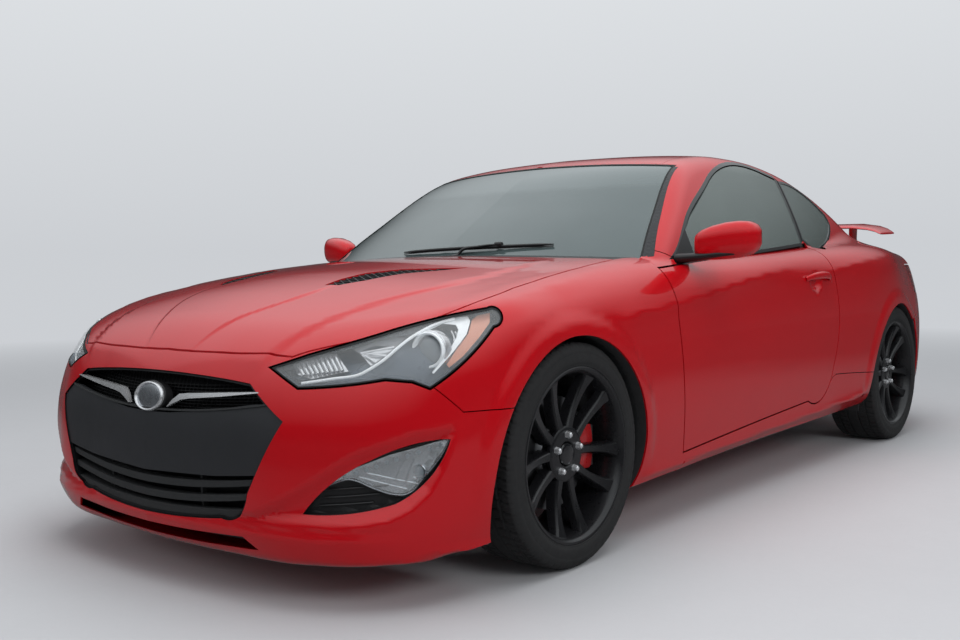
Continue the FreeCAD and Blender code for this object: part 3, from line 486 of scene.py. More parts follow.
def prism(points, axis, low, high, grow=0.0, mirror=False):
    """Cutter: an outline drawn along x, y, z or diagonally into the left front corner, from low to high."""
    pts = polyline(points) if not isinstance(points, np.ndarray) else points
    if grow:
        pts = grown(pts, grow)
    n = len(pts)
    rows = []
    for at in (low, high):
        for u, v in pts:
            p = {"x": (at, u, v), "y": (u, at, v), "z": (u, v, at),
                 "corner": ((u - at) * DIAGONAL, (u + at) * DIAGONAL, v)}[axis]
            rows.append((-p[0], p[1], p[2]) if mirror else p)
    faces = [list(range(n)), list(range(2 * n - 1, n - 1, -1))]
    faces += [[i, (i + 1) % n, n + (i + 1) % n, n + i] for i in range(n)]
    return outward(new_mesh("cutter", rows, faces), triangles=True)


def ribbon(points, width):
    """Outline of an even strip along a line of points."""
    p = np.array(points, float)
    d = np.gradient(p, axis=0)
    d /= np.linalg.norm(d, axis=1, keepdims=True)
    n = np.stack([-d[:, 1], d[:, 0]], -1) * (width / 2)
    return np.concatenate([p + n, (p - n)[::-1]])


def block(x0, x1, y0, y1, z0, z1):
    return prism([(x0, y0), (x1, y0), (x1, y1), (x0, y1)], "z", z0, z1)


def drum(radius, x0, x1, y, z, n=96):
    t = turn_steps(n)
    pts = np.stack([y + radius * np.cos(t), z + radius * np.sin(t)], -1)
    return prism(pts, "x", x0, x1)


def carve(mesh, keep=(), remove=()):
    """Boolean result of a closed mesh with cutters, as a new mesh."""
    obj = new_object("work", mesh)
    helpers = []
    for cutters, mode in ((keep, "INTERSECT"), (remove, "DIFFERENCE")):
        for cutter in cutters:
            tool = new_object("tool", cutter)
            helpers.append(tool)
            mod = obj.modifiers.new("cut", "BOOLEAN")
            mod.operation = mode
            mod.solver = "MANIFOLD"
            mod.object = tool
    result = applied(obj)
    for h in helpers:
        bpy.data.objects.remove(h)
    bpy.data.objects.remove(obj)
    return result


def joined(meshes):
    """One mesh from several."""
    verts = []
    faces = []
    base = 0
    for m in meshes:
        verts.append(read(m))
        faces += [[v + base for v in p.vertices] for p in m.polygons]
        base += len(m.vertices)
    return new_mesh("joined", np.concatenate(verts), faces)


def mirrored(mesh):
    out = mesh.copy()
    out.transform(Matrix.Diagonal((-1, 1, 1, 1)))
    out.flip_normals()
    return out


def soften(mesh, degrees=32):
    """Smooth shading with sharp edges kept."""
    mesh.polygons.foreach_set("use_smooth", np.ones(len(mesh.polygons), bool))
    mesh.set_sharp_from_angle(angle=math.radians(degrees))
    return mesh


def moved(mesh, at=(0, 0, 0), turn=None):
    if turn is not None:
        mesh.transform(turn)
    mesh.transform(Matrix.Translation(at))
    return mesh


def rings_mesh(rings, caps=True, loop=False):
    """Closed skin through rings that all have the same number of points."""
    rings = np.asarray(rings, float)
    k, n = rings.shape[:2]
    idx = np.arange(k * n).reshape(k, n)
    ahead = np.roll(idx, -1, 0) if loop else idx[1:]
    here = idx if loop else idx[:-1]
    quads = np.stack([here, ahead, np.roll(ahead, -1, 1), np.roll(here, -1, 1)], -1).reshape(-1, 4)
    faces = quads.tolist()
    if caps and not loop:
        faces += [idx[0].tolist()[::-1], idx[-1].tolist()]
    return outward(new_mesh("rings", rings.reshape(-1, 3), faces))


def lathe(profile, n=96):
    """Closed profile of (offset, radius) turned about the x axis."""
    profile = np.array(profile, float)
    t = turn_steps(max(6, int(n * (FINE if n > 24 else 1))))
    x = np.broadcast_to(profile[:, 0], (len(t), len(profile)))
    y = profile[:, 1] * np.sin(t)[:, None]
    z = profile[:, 1] * np.cos(t)[:, None]
    return rings_mesh(np.stack([x, y, z], -1), loop=True)


def aim(axis, up=(0, 0, 1)):
    """Turn that takes the x axis to a direction."""
    a = Vector(axis).normalized()
    side = Vector(up).cross(a).normalized()
    top = a.cross(side)
    return Matrix(((a.x, side.x, top.x, 0), (a.y, side.y, top.y, 0), (a.z, side.z, top.z, 0), (0, 0, 0, 1)))


def tube(points, radius, n=10, flat=1.0, up=(0, 0, 1)):
    """Round or flattened bar along a line of points."""
    p = np.array(points, float)
    radius = np.broadcast_to(np.asarray(radius, float), len(p))
    d = np.gradient(p, axis=0)
    d /= np.linalg.norm(d, axis=1, keepdims=True)
    ref = np.array(up, float)
    rings = []
    for c, t, r in zip(p, d, radius):
        s = np.cross(ref, t)
        s /= max(np.linalg.norm(s), 1e-9)
        v = np.cross(t, s)
        a = turn_steps(n)
        rings.append(c + r * (np.cos(a)[:, None] * s + flat * np.sin(a)[:, None] * v))
    return rings_mesh(rings)


def smooth_path(points, n=40):
    """Even points along a smooth curve through the given ones."""
    p = np.array(points, float)
    t = np.concatenate([[0], np.cumsum(np.linalg.norm(np.diff(p, axis=0), axis=1))])
    at = np.linspace(0, t[-1], n)
    return np.stack([curve(t, p[:, k])(at) for k in range(p.shape[1])], -1)


INWARD = np.array([-DIAGONAL, DIAGONAL, 0.0])


def skin_hit(p):
    """First crossing into the lower body along a line of points."""
    f = lower_field(p)
    i = max(1, int(np.argmax(f < 0)))
    w = f[i - 1] / (f[i - 1] - f[i])
    return p[i - 1] + (p[i] - p[i - 1]) * w


def corner_point(u, z, depth=0.0):
    """Place on the left front corner, seen squarely from outside, moved inwards by a depth."""
    a = np.linspace(-2.4, -1.3, 500)
    p = np.array([u * DIAGONAL, u * DIAGONAL, z]) + INWARD * a[:, None]
    return skin_hit(p) + INWARD * depth


def front_point(x, z, depth=0.0):
    """Place on the nose, seen squarely from the front, moved back by a depth."""
    y = np.linspace(-2.36, -1.9, 400)
    p = np.stack([np.full_like(y, x), y, np.full_like(y, z)], -1)
    return skin_hit(p) + np.array([0, depth, 0])


def plate(field, grid, outline, axis, low, high, depth, thick, grow=0.0, without=()):
    """Piece of a slab at a depth under the skin, cut to an outline."""
    return carve(shell_mesh("plate", field, grid, depth, thick), [prism(outline, axis, low, high, grow)],
                 list(without))


def pair_of(mesh):
    return joined([mesh, mirrored(mesh)])


def set_normals(mesh, field, limit=0.80):
    """Shade skin faces with the true normal of the surface, and edges flat."""
    co = read(mesh)
    true = gradient(field, co)
    near = np.abs(field(co)) < 0.03
    lv = np.empty(len(mesh.loops), int)
    mesh.loops.foreach_get("vertex_index", lv)
    npoly = len(mesh.polygons)
    pn = np.empty(npoly * 3)
    mesh.polygons.foreach_get("normal", pn)
    pn = pn.reshape(-1, 3)
    total = np.empty(npoly, int)
    mesh.polygons.foreach_get("loop_total", total)
    face = np.repeat(np.arange(npoly), total)
    fn = pn[face]
    tn = true[lv]
    dot = (fn * tn).sum(1)
    use = np.where((dot > limit) & near[lv], 1, np.where((dot < -limit) & near[lv], -1, 0))
    normals = np.where(use[:, None] == 0, fn, tn * use[:, None])
    mesh.polygons.foreach_set("use_smooth", np.ones(npoly, bool))
    mesh.normals_split_custom_set(normals.tolist())


def place(name, mesh, body, material, replaces=(), field=None, slot=None):
    """Finished piece on its body, with its material; the slot argument is not used."""
    if field is not None:
        set_normals(mesh, field)
    obj = new_object(name, mesh)
    mesh.materials.clear()
    mesh.materials.append(material)
    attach(obj, body)
    if replaces:
        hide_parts(*replaces)
    return obj


def on_doors(name, mesh, material, node="", **options):
    """A left door's piece, and its mirror on the right door."""
    for side in ("left", "right"):
        own = mesh.copy() if side == "left" else mirrored(mesh)
        place(name + "_" + side, own, side + "_door", material, [node + "_" + side] if node else (),
              **options)


# Materials
def shader(name):
    mat = bpy.data.materials.new(name)
    mat.use_nodes = True
    tree = mat.node_tree
    bsdf = tree.nodes["Principled BSDF"]
    return mat, tree, bsdf


def set_inputs(tree, node, inputs):
    """A value or a link for each input of a node."""
    for socket, value in inputs.items():
        if isinstance(value, bpy.types.NodeSocket):
            tree.links.new(value, node.inputs[socket])
        else:
            node.inputs[socket].default_value = value


def add_node(tree, kind, inputs=None, **settings):
    """New shader node with its settings and inputs."""
    node = tree.nodes.new("ShaderNode" + kind)
    for key, value in settings.items():
        setattr(node, key, value)
    set_inputs(tree, node, inputs or {})
    return node


def math_node(tree, operation, *inputs, clamp=False):
    return add_node(tree, "Math", dict(enumerate(inputs)), operation=operation, use_clamp=clamp).outputs[0]


def texture_coords(tree, scale=(1, 1, 1)):
    coord = add_node(tree, "TexCoord")
    return add_node(tree, "Mapping", {"Vector": coord.outputs["Object"], "Scale": scale}).outputs["Vector"]


def noise(tree, vector, scale, detail=4.0, rough=0.55):
    inputs = {"Vector": vector, "Scale": scale, "Detail": detail, "Roughness": rough}
    return add_node(tree, "TexNoise", inputs).outputs["Fac"]


def map_range(tree, value, a, b, c, d):
    inputs = {"Value": value, "From Min": a, "From Max": b, "To Min": c, "To Max": d}
    return add_node(tree, "MapRange", inputs).outputs["Result"]


def blend_colors(tree, factor, first, second):
    """Mix of two colours, each given as red, green and blue or by another node."""
    first, second = ((*c, 1) if isinstance(c, tuple) else c for c in (first, second))
    return add_node(tree, "Mix", {0: factor, 6: first, 7: second}, data_type="RGBA").outputs[2]


def add_bump(tree, bsdf, height, strength, distance, socket="Normal"):
    node = add_node(tree, "Bump", {"Height": height, "Strength": strength, "Distance": distance})
    tree.links.new(node.outputs["Normal"], bsdf.inputs[socket])


def finish(name, color, rough, metal=0.0, coat=0.0, coat_rough=0.03, vary=0.06, vary_scale=6.0,
           rough_vary=0.04, grain=0.0, grain_scale=900.0, spec=0.5):
    """Solid finish with slight colour and gloss variation and a surface grain."""
    mat, tree, bsdf = shader(name)
    vector = texture_coords(tree)
    low = tuple(c * (1 - vary) for c in color)
    high = tuple(min(1, c * (1 + vary)) for c in color)
    fine = noise(tree, vector, vary_scale * 7)
    set_inputs(tree, bsdf, {
        "Base Color": blend_colors(tree, noise(tree, vector, vary_scale), low, high),
        "Roughness": map_range(tree, fine, 0.3, 0.7, rough - rough_vary, rough + rough_vary),
        "Metallic": metal, "Coat Weight": coat, "Coat Roughness": coat_rough, "Specular IOR Level": spec})
    if grain:
        add_bump(tree, bsdf, noise(tree, vector, grain_scale, 3.0), grain, 0.0006)
    return mat


def car_paint():
    mat, tree, bsdf = shader("red_paint")
    vector = texture_coords(tree)
    cell = add_node(tree, "TexVoronoi", {"Vector": vector, "Scale": 2600.0})
    fleck = map_range(tree, cell.outputs["Distance"], 0.0, 0.9, 0.0, 1.0)
    tone = blend_colors(tree, fleck, (0.42, 0.0010, 0.0045), (0.56, 0.0025, 0.0085))
    film = noise(tree, vector, 3.0)
    dust = map_range(tree, film, 0.45, 0.8, 0.0, 0.05)
    set_inputs(tree, bsdf, {
        "Base Color": blend_colors(tree, dust, tone, (0.42, 0.03, 0.03)),
        "Roughness": map_range(tree, film, 0.3, 0.7, 0.30, 0.38),
        "Metallic": 0.15, "Specular IOR Level": 0.12, "Coat Weight": 1.0, "Coat Roughness": 0.03})
    add_bump(tree, bsdf, noise(tree, vector, 260.0, 2.0), 0.05, 0.0004, "Coat Normal")
    return mat


def glass(name, tint, rough=0.0, alpha=0.35, top_band=None):
    """Tinted pane: a thin see-through film with full gloss."""
    mat, tree, bsdf = shader(name)
    vector = texture_coords(tree)
    smear = noise(tree, vector, 5.0)
    dark = tuple(c * 0.85 for c in tint)
    opacity = map_range(tree, smear, 0.3, 0.7, alpha - 0.02, alpha + 0.02)
    if top_band:
        split = add_node(tree, "SeparateXYZ", {0: vector})
        shade = map_range(tree, split.outputs["Z"], *top_band, 0.0, 1.0)
        opacity = math_node(tree, "MULTIPLY_ADD", shade, 0.45, opacity)
    set_inputs(tree, bsdf, {"Base Color": blend_colors(tree, smear, dark, tint), "Roughness": rough,
                            "IOR": 1.65, "Coat Weight": 0.6, "Alpha": opacity})
    return mat


PAINT = car_paint()
TINT = glass("tinted_glass", (0.120, 0.155, 0.145), alpha=0.80)
SCREEN = glass("screen_glass", (0.070, 0.098, 0.100), alpha=0.90, top_band=(1.17, 1.27))
BLACK_TRIM = finish("black_trim", (0.012, 0.012, 0.013), 0.38, vary=0.15, grain=0.15)
GLOSS_BLACK = finish("gloss_black", (0.006, 0.006, 0.007), 0.12, coat=0.6, vary=0.1, rough_vary=0.02)
GRAINED = finish("grained_plastic", (0.022, 0.023, 0.024), 0.62, vary=0.12, grain=0.45, grain_scale=1400.0)
RUBBER = finish("seal_rubber", (0.010, 0.010, 0.010), 0.72, vary=0.2, grain=0.25)
UNDERCOAT = finish("undercoat", (0.028, 0.028, 0.029), 0.8, vary=0.25, grain=0.6, grain_scale=500.0)
CHASSIS = finish("satin_black_steel", (0.03, 0.03, 0.031), 0.5, metal=0.2, vary=0.25, grain=0.3,
                 grain_scale=400.0)
CHROME = finish("bright_chrome", (0.80, 0.81, 0.83), 0.12, metal=0.72, vary=0.03, rough_vary=0.02)
SATIN = finish("satin_metal", (0.42, 0.44, 0.47), 0.28, metal=0.9, vary=0.05)
RIM_PAINT = finish("rim_paint", (0.010, 0.010, 0.0115), 0.30, metal=0.25, coat=0.35, coat_rough=0.12,
                   vary=0.2, vary_scale=14.0)
CALIPER = finish("caliper_paint", (0.36, 0.010, 0.012), 0.3, coat=0.6, vary=0.12, grain=0.2,
                 grain_scale=260.0)
DISC = finish("brake_iron", (0.30, 0.30, 0.31), 0.34, metal=1.0, vary=0.18, vary_scale=30.0, grain=0.2,
              grain_scale=700.0)
TYRE = finish("tyre_rubber", (0.016, 0.016, 0.0165), 0.78, vary=0.28, vary_scale=9.0, rough_vary=0.06,
              grain=0.35, grain_scale=900.0)
LAMP_DARK = finish("lamp_housing", (0.060, 0.085, 0.115), 0.30, metal=0.35, coat=0.4, vary=0.10)
LAMP_BEZEL = finish("lamp_bezel", (0.32, 0.38, 0.43), 0.26, metal=0.75, vary=0.06)
LIGHT_GUIDE = finish("light_guide", (0.86, 0.90, 0.93), 0.24, coat=0.7, vary=0.03)
AMBER = finish("amber_insert", (0.62, 0.24, 0.14), 0.32, coat=0.7, vary=0.12, vary_scale=20.0)
SATIN_BRIGHT = finish("lamp_reflector", (0.62, 0.65, 0.68), 0.20, metal=0.95, vary=0.08, vary_scale=26.0)
PROJECTOR_GLASS = finish("projector_glass", (0.16, 0.19, 0.21), 0.06, coat=1.0, coat_rough=0.02, vary=0.10,
                         vary_scale=22.0)
GRILLE_BLACK = finish("grille_black", (0.006, 0.006, 0.007), 0.42, vary=0.15, spec=0.3)
COVER_VINYL = finish("cover_vinyl", (0.020, 0.021, 0.024), 0.50, vary=0.15, vary_scale=3.0, grain=0.25,
                     grain_scale=1500.0)
FRIT = finish("glass_frit", (0.010, 0.010, 0.012), 0.25, vary=0.15, vary_scale=30.0)
LENS = glass("lamp_lens", (0.80, 0.84, 0.86), alpha=0.10)
RED_LENS = glass("red_lens", (0.40, 0.006, 0.008), alpha=0.62)
RED_PLASTIC = finish("red_reflector", (0.50, 0.010, 0.012), 0.22, coat=0.6, vary=0.12, vary_scale=30.0)
EXHAUST = finish("exhaust_steel", (0.36, 0.35, 0.33), 0.36, metal=1.0, vary=0.22, vary_scale=12.0, grain=0.15,
                 grain_scale=300.0)
CAST = finish("cast_alloy", (0.20, 0.20, 0.205), 0.55, metal=0.6, vary=0.25, vary_scale=10.0, grain=0.5,
              grain_scale=350.0)
LEATHER = finish("dark_leather", (0.020, 0.020, 0.021), 0.46, vary=0.22, vary_scale=9.0, grain=0.40,
                 grain_scale=420.0)
SEAM = finish("seat_piping", (0.045, 0.045, 0.047), 0.50, vary=0.2, vary_scale=40.0, grain=0.5,
              grain_scale=600.0)
CARPET = finish("dark_carpet", (0.018, 0.018, 0.019), 0.92, vary=0.35, vary_scale=60.0, grain=0.8,
                grain_scale=1200.0)
HEADLINER = finish("headliner_cloth", (0.035, 0.036, 0.038), 0.88, vary=0.15, vary_scale=40.0, grain=0.5,
                   grain_scale=1500.0)


# Outlines shared with the solids: side (y, z), front (x, z), plan (x, y)
# and left front corner (to the rear, z)
BELT_FRONT = (-0.874, 0.868)
BELT_REAR = (0.545, 0.966)
BELT_SLOPE = (BELT_REAR[1] - BELT_FRONT[1]) / (BELT_REAR[0] - BELT_FRONT[0])


def on_belt(y):
    return (y, BELT_FRONT[1] + BELT_SLOPE * (y - BELT_FRONT[0]))


DOOR = [(-0.806, 0.246), (0.276, 0.306), (0.455, 0.322, 0.520, 0.430), (0.575, 0.600, 0.557, 0.842),
        BELT_REAR, BELT_FRONT]
DOOR_GLASS = [on_belt(-0.620), (-0.620, 0.962), (-0.470, 1.060), (-0.190, 1.196),
              (0.100, 1.290, 0.420, 1.283), (0.562, 1.258), (0.500, 0.975), on_belt(0.498)]
DOOR_WINDOW = [(-0.770, 0.840), (-0.716, 0.909), (-0.478, 1.072), (-0.195, 1.209),
               (0.100, 1.303, 0.420, 1.296), (0.572, 1.271), (0.508, 0.968), (0.508, 0.840)]
QUARTER_GLASS = [(0.532, 0.986), (0.592, 1.253), (0.850, 1.222, 1.035, 1.132), (1.068, 1.100, 1.052, 1.062),
                 (0.930, 1.000, 0.760, 0.957), (0.650, 0.945, 0.575, 0.966)]
HOOD = [(0, -2.216), (0.260, -2.209, 0.500, -2.180), (0.700, -2.040), (0.775, -1.840, 0.775, -1.600),
        (0.742, -1.010), (0.400, -1.085, 0, -1.100), (-0.400, -1.085, -0.742, -1.010), (-0.775, -1.600),
        (-0.775, -1.840, -0.700, -2.040), (-0.500, -2.180), (-0.260, -2.209, 0, -2.216)]
HEADLAMP = [(-1.244, 0.624), (-1.172, 0.577), (-1.064, 0.585, -0.951, 0.600), (-0.882, 0.593),
            (-0.838, 0.575), (-0.748, 0.636, -0.660, 0.722), (-0.638, 0.756, -0.672, 0.767),
            (-0.803, 0.746, -0.961, 0.707), (-1.143, 0.657)]
FOG_POCKET = [(-1.165, 0.257), (-1.068, 0.260, -0.931, 0.286), (-0.845, 0.345, -0.787, 0.443),
              (-0.880, 0.436, -0.992, 0.397), (-1.092, 0.336, -1.165, 0.257)]
GRILLE = [(-0.400, 0.582), (0, 0.600, 0.400, 0.582), (0.533, 0.493), (0.430, 0.300),
          (0.390, 0.235, 0.320, 0.222), (0, 0.203, -0.320, 0.222), (-0.390, 0.235, -0.430, 0.300),
          (-0.533, 0.493)]
LIP_SLOT = [(-0.400, 0.184), (0, 0.172, 0.400, 0.184), (0.440, 0.150), (0, 0.136, -0.440, 0.150)]
BUMPER_SIDE = [(-2.5, 0.04), (-1.5, 0.04), (-1.5, 0.499), (-1.94, 0.508), (-2.012, 0.580), (-2.060, 0.690),
               (-2.5, 0.690)]
SKIRT_SEAM = [(0.492, 0.358), (0.520, 0.382), (0.560, 0.393), (0.718, 0.385), (1.010, 0.366)]
FENDER_SEAM = [(-0.830, 0.940), (-0.778, 0.925), (-0.700, 0.900)]
SEAM_WIDTH = 0.0035
# From and to, for cuts through the left front corner, the windscreen and the left flank
CORNER_CUT = (-2.4, -1.4)
SCREEN_CUT = (-1.4, -0.3)
LEFT_CUT = (0.3, 1.1)
# Point inside the nose that its surface is seen from
NOSE_EYE = (0, -1.60, 0.42)
PILLAR = [(0.500, 0.968), (0.538, 0.984), (0.599, 1.256), (0.566, 1.274)]
WINDSCREEN = [(-0.770, 0.890), (0.770, 0.890), (0.597, 1.268), (0, 1.292, -0.597, 1.268)]
BACKLIGHT = [(0, 0.862), (0.300, 0.862, 0.470, 0.905), (0.560, 1.440), (0.300, 1.545, 0, 1.550),
             (-0.300, 1.545, -0.560, 1.440), (-0.470, 0.905), (-0.300, 0.862, 0, 0.862)]
BOOT_LID = [(0, 1.572), (0.350, 1.566, 0.625, 1.490), (0.625, 2.5), (-0.625, 2.5), (-0.625, 1.490),
            (-0.350, 1.566, 0, 1.572)]
BOOT_LOW_Z = 0.742
TAIL_LAMP = [(0.640, 0.745), (0.780, 0.712), (0.860, 0.730), (0.860, 0.800), (0.790, 0.872), (0.640, 0.870)]
REAR_BUMPER_SIDE = [(2.5, 0.04), (1.4, 0.04), (1.4, 0.560), (1.980, 0.640), (2.040, 0.735), (2.5, 0.735)]
ROOF = [(-0.545, -0.330), (0, -0.385, 0.545, -0.330), (0.520, 0.300), (0.470, 0.830),
        (0, 0.812, -0.470, 0.830), (-0.520, 0.300)]
PIPE_AT = (0.560, 0.285)
PLATE_HALF = 0.190
PLATE_Z = (0.502, 0.678)
DOOR_FRONT = [(-0.806, 0.246), BELT_FRONT, (-0.874, 1.5), (-2.5, 1.5), (-2.5, 0), (-0.790, 0),
              (-0.790, 0.246)]

VENT = [(0.247, -1.838), (0.238, -1.760), (0.243, -1.655), (0.300, -1.555), (0.482, -1.438), (0.440, -1.520),
        (0.372, -1.628), (0.338, -1.752), (0.292, -1.820)]

front_wells = [drum(FRONT_ARCH_R, 0.50, 1.1, FRONT_AXLE_Y, FRONT_ARCH_Z)]
rear_wells = [drum(REAR_ARCH_R, 0.50, 1.1, REAR_AXLE_Y, REAR_ARCH_Z)]


def lamp_hole(grow=SHUT_GAP, mirror=False):
    return prism(HEADLAMP, "corner", -2.25, -1.62, grow, mirror)


def both(make):
    return [make(False), make(True)]


# Body panels
def build_hood():
    grid = barrel_grid(lower_field, -2.285, -0.99, 8, 172, 0.014)
    skin = shell_mesh("hood_skin", lower_field, grid, 0, SKIN)
    holes = both(lambda m: lamp_hole(SHUT_GAP, m)) + both(lambda m: prism(VENT, "z", 0.5, 1.1, 0, m))
    skin = carve(skin, [prism(HOOD, "z", 0.45, 1.1)], holes)
    return place("hood_panel", skin, "hood", PAINT, ["hood"], field=lower_field)


def build_bumper():
    grid = globe_grid(lower_field, NOSE_EYE, -84, 84, -42, 32, 0.008)
    skin = shell_mesh("bumper_skin", lower_field, grid, 0, SKIN)
    holes = [prism(HOOD, "z", 0.45, 1.1, SHUT_GAP), prism(GRILLE, "y", -2.45, -2.05),
             prism(LIP_SLOT, "y", -2.45, -2.05)]
    holes += both(lambda m: lamp_hole(SHUT_GAP, m))
    holes += both(lambda m: prism(FOG_POCKET, "corner", -2.25, -1.75, 0, m))
    holes += front_wells + [mirrored(m) for m in front_wells]
    skin = carve(skin, [prism(BUMPER_SIDE, "x", -1.1, 1.1)], holes)
    return place("front_bumper_skin", skin, "body", PAINT, ["front_bumper"], field=lower_field)


def build_fenders():
    grid = barrel_grid(lower_field, -2.25, -0.77, -38, 80, 0.013)
    skin = shell_mesh("fender_skin", lower_field, grid, 0, SKIN)
    keep = [prism(DOOR_FRONT, "x", 0, 1.1)]
    remove = [prism(BUMPER_SIDE, "x", -1.1, 1.1, 0.003), prism(HOOD, "z", 0.45, 1.1, SHUT_GAP), lamp_hole(),
              prism(DOOR, "x", 0, 1.1, DOOR_GAP), block(-1, 0.745, -1.19, -0.77, 0.7, 1.1)] + front_wells
    skin = carve(skin, keep, remove)
    return place("fender_skins", pair_of(skin), "body", PAINT, ["front_fenders"], field=lower_field)


def build_doors():
    grid = barrel_grid(lower_field, -0.90, 0.62, -30, 42, 0.013)
    slab = shell_mesh("door_slab", lower_field, grid, 0, 0.085)
    slab = carve(slab, [prism(DOOR, "x", 0.74, 1.1)])
    on_doors("door_panel", slab, PAINT, "door", field=lower_field)


def build_body_sides():
    # Fine enough to stay below the strips beside the windscreen
    grid = barrel_grid(whole_field, -1.12, 2.36, -42, 89, 0.0105)
    skin = shell_mesh("side_skin", whole_field, grid, 0, SKIN)
    remove = [prism(DOOR_FRONT, "x", 0.0, 1.1), prism(DOOR, "x", 0, 1.1, DOOR_GAP),
              prism(DOOR_WINDOW, "x", *LEFT_CUT), prism(QUARTER_GLASS, "x", *LEFT_CUT),
              prism(WINDSCREEN, "y", *SCREEN_CUT), prism(BACKLIGHT, "z", 0.92, 1.4),
              prism(BOOT_LID, "z", BOOT_LOW_Z - SHUT_GAP, 1.2, SHUT_GAP),
              prism(REAR_BUMPER_SIDE, "x", -1.1, 1.1, 0.003), prism(TAIL_LAMP, "y", 1.85, 2.5, 0.003),
              prism(ROOF, "z", 1.1, 1.5, 0.002),
              prism(PILLAR, "x", *LEFT_CUT)]
    remove += [prism(ribbon(line, SEAM_WIDTH), "x", 0.6, 1.1) for line in (SKIRT_SEAM, FENDER_SEAM)]
    skin = carve(skin, [], remove + rear_wells)
    for side, mesh in (("left", skin), ("right", mirrored(skin))):
        place("side_skin_" + side, mesh, "body", PAINT, ["body_side_" + side], field=whole_field)


def build_roof():
    grid = barrel_grid(whole_field, -0.42, 0.90, 40, 140, 0.02)
    skin = carve(shell_mesh("roof_skin", whole_field, grid, 0, SKIN), [prism(ROOF, "z", 1.1, 1.5)])
    place("roof_skin", skin, "body", PAINT, ["roof_panel"], field=whole_field)


def build_rear():
    grid = globe_grid(lower_field, (0, 1.55, 0.55), -84, 84, -42, 24, 0.014, 1)
    skin = shell_mesh("rear_bumper_skin", lower_field, grid, 0, SKIN)
    holes = both(lambda m: prism(TAIL_LAMP, "y", 1.85, 2.5, 0.003, m))
    holes += rear_wells + [mirrored(m) for m in rear_wells]
    for side in (-1, 1):
        ring = [(side * PIPE_AT[0] + 0.056 * math.cos(a), PIPE_AT[1] + 0.056 * math.sin(a))
                for a in turn_steps(48)]
        holes.append(prism(ring, "y", 1.8, 2.6))
    holes.append(block(-PLATE_HALF, PLATE_HALF, 2.20, 2.6, *PLATE_Z))
    skin = carve(skin, [prism(REAR_BUMPER_SIDE, "x", -1.1, 1.1)], holes)
    place("rear_bumper_skin", skin, "body", PAINT, ["rear_bumper"], field=lower_field)
    grid = barrel_grid(lower_field, 1.47, 2.20, 20, 160, 0.016)
    grid2 = globe_grid(lower_field, (0, 1.55, 0.60), -62, 62, 2, 46, 0.014, 1)
    top = carve(shell_mesh("lid_top", lower_field, grid2, 0, SKIN),
                [prism(BOOT_LID, "z", BOOT_LOW_Z, 1.2), block(-1, 1, 2.06, 2.5, 0, 2)])
    fore = carve(shell_mesh("lid_fore", lower_field, grid, 0, SKIN),
                 [prism(BOOT_LID, "z", BOOT_LOW_Z, 1.2), block(-1, 1, 1.4, 2.06, 0, 2)])
    place("boot_lid_skin", joined([top, fore]), "boot_lid", PAINT, ["trunk_lid"], field=lower_field)


def build_glass():
    grid = barrel_grid(greenhouse_field, -1.15, -0.30, 15, 165, 0.02, 0.70)
    mesh = carve(shell_mesh("screen", greenhouse_field, grid, 0.001, 0.004),
                 [prism(WINDSCREEN, "y", *SCREEN_CUT, -0.0005)])
    place("windscreen_pane", mesh, "body", SCREEN, ["windscreen"], field=greenhouse_field)
    grid = barrel_grid(greenhouse_field, 0.78, 1.62, 30, 150, 0.02, 0.70)
    mesh = carve(shell_mesh("backlight", greenhouse_field, grid, 0.001, 0.004),
                 [prism(BACKLIGHT, "z", 0.92, 1.4, -0.0005)])
    place("rear_window_pane", mesh, "body", TINT, ["rear_window"], field=greenhouse_field)
    grid = barrel_grid(greenhouse_field, -0.80, 0.66, 4, 60, 0.02, 0.70)
    mesh = carve(shell_mesh("side_pane", greenhouse_field, grid, 0.002, 0.004),
                 [prism(DOOR_GLASS, "x", *LEFT_CUT)])
    on_doors("door_pane", mesh, TINT, "door_glass", field=greenhouse_field)
    grid = barrel_grid(greenhouse_field, 0.45, 1.15, 4, 60, 0.02, 0.70)
    mesh = carve(shell_mesh("quarter_pane", greenhouse_field, grid, 0.001, 0.004),
                 [prism(QUARTER_GLASS, "x", *LEFT_CUT, -0.0005)])
    place("quarter_panes", pair_of(mesh), "body", TINT, ["quarter_windows"], field=greenhouse_field)


build_hood()
build_bumper()
build_fenders()
build_doors()
build_body_sides()
build_roof()
build_rear()
build_glass()


# Headlamp parts in the corner plane: to the rear, height
LAMP_BEZEL_BAND = [(-1.236, 0.632), (-1.143, 0.661), (-0.961, 0.711), (-0.803, 0.750), (-0.668, 0.772),
                   (-0.662, 0.757), (-0.700, 0.751), (-0.762, 0.748), (-0.812, 0.735), (-0.880, 0.706),
                   (-0.925, 0.700), (-0.983, 0.689), (-1.030, 0.674), (-1.072, 0.664), (-1.101, 0.664),
                   (-1.187, 0.637)]
LIGHT_BAND = [(-0.846, 0.722), (-0.812, 0.735), (-0.765, 0.747), (-0.727, 0.748), (-0.722, 0.736),
              (-0.735, 0.704), (-0.771, 0.664), (-0.827, 0.609), (-0.831, 0.612), (-0.789, 0.658),
              (-0.763, 0.696), (-0.756, 0.716), (-0.762, 0.728), (-0.797, 0.731), (-0.838, 0.714)]
LIGHT_LINE = [(-1.163, 0.5865), (-1.084, 0.599), (-1.010, 0.612), (-0.984, 0.626), (-0.951, 0.647),
              (-0.919, 0.673), (-0.882, 0.699), (-0.845, 0.718), (-0.814, 0.731), (-0.765, 0.743)]
MID_REFLECTOR = [(-1.029, 0.669), (-0.983, 0.684), (-0.921, 0.704), (-0.895, 0.697), (-0.921, 0.676),
                 (-0.953, 0.651), (-0.986, 0.630), (-1.009, 0.655)]
MID_NOTCH = [(-1.008, 0.667), (-0.976, 0.678), (-0.925, 0.676), (-0.918, 0.671), (-0.960, 0.668)]
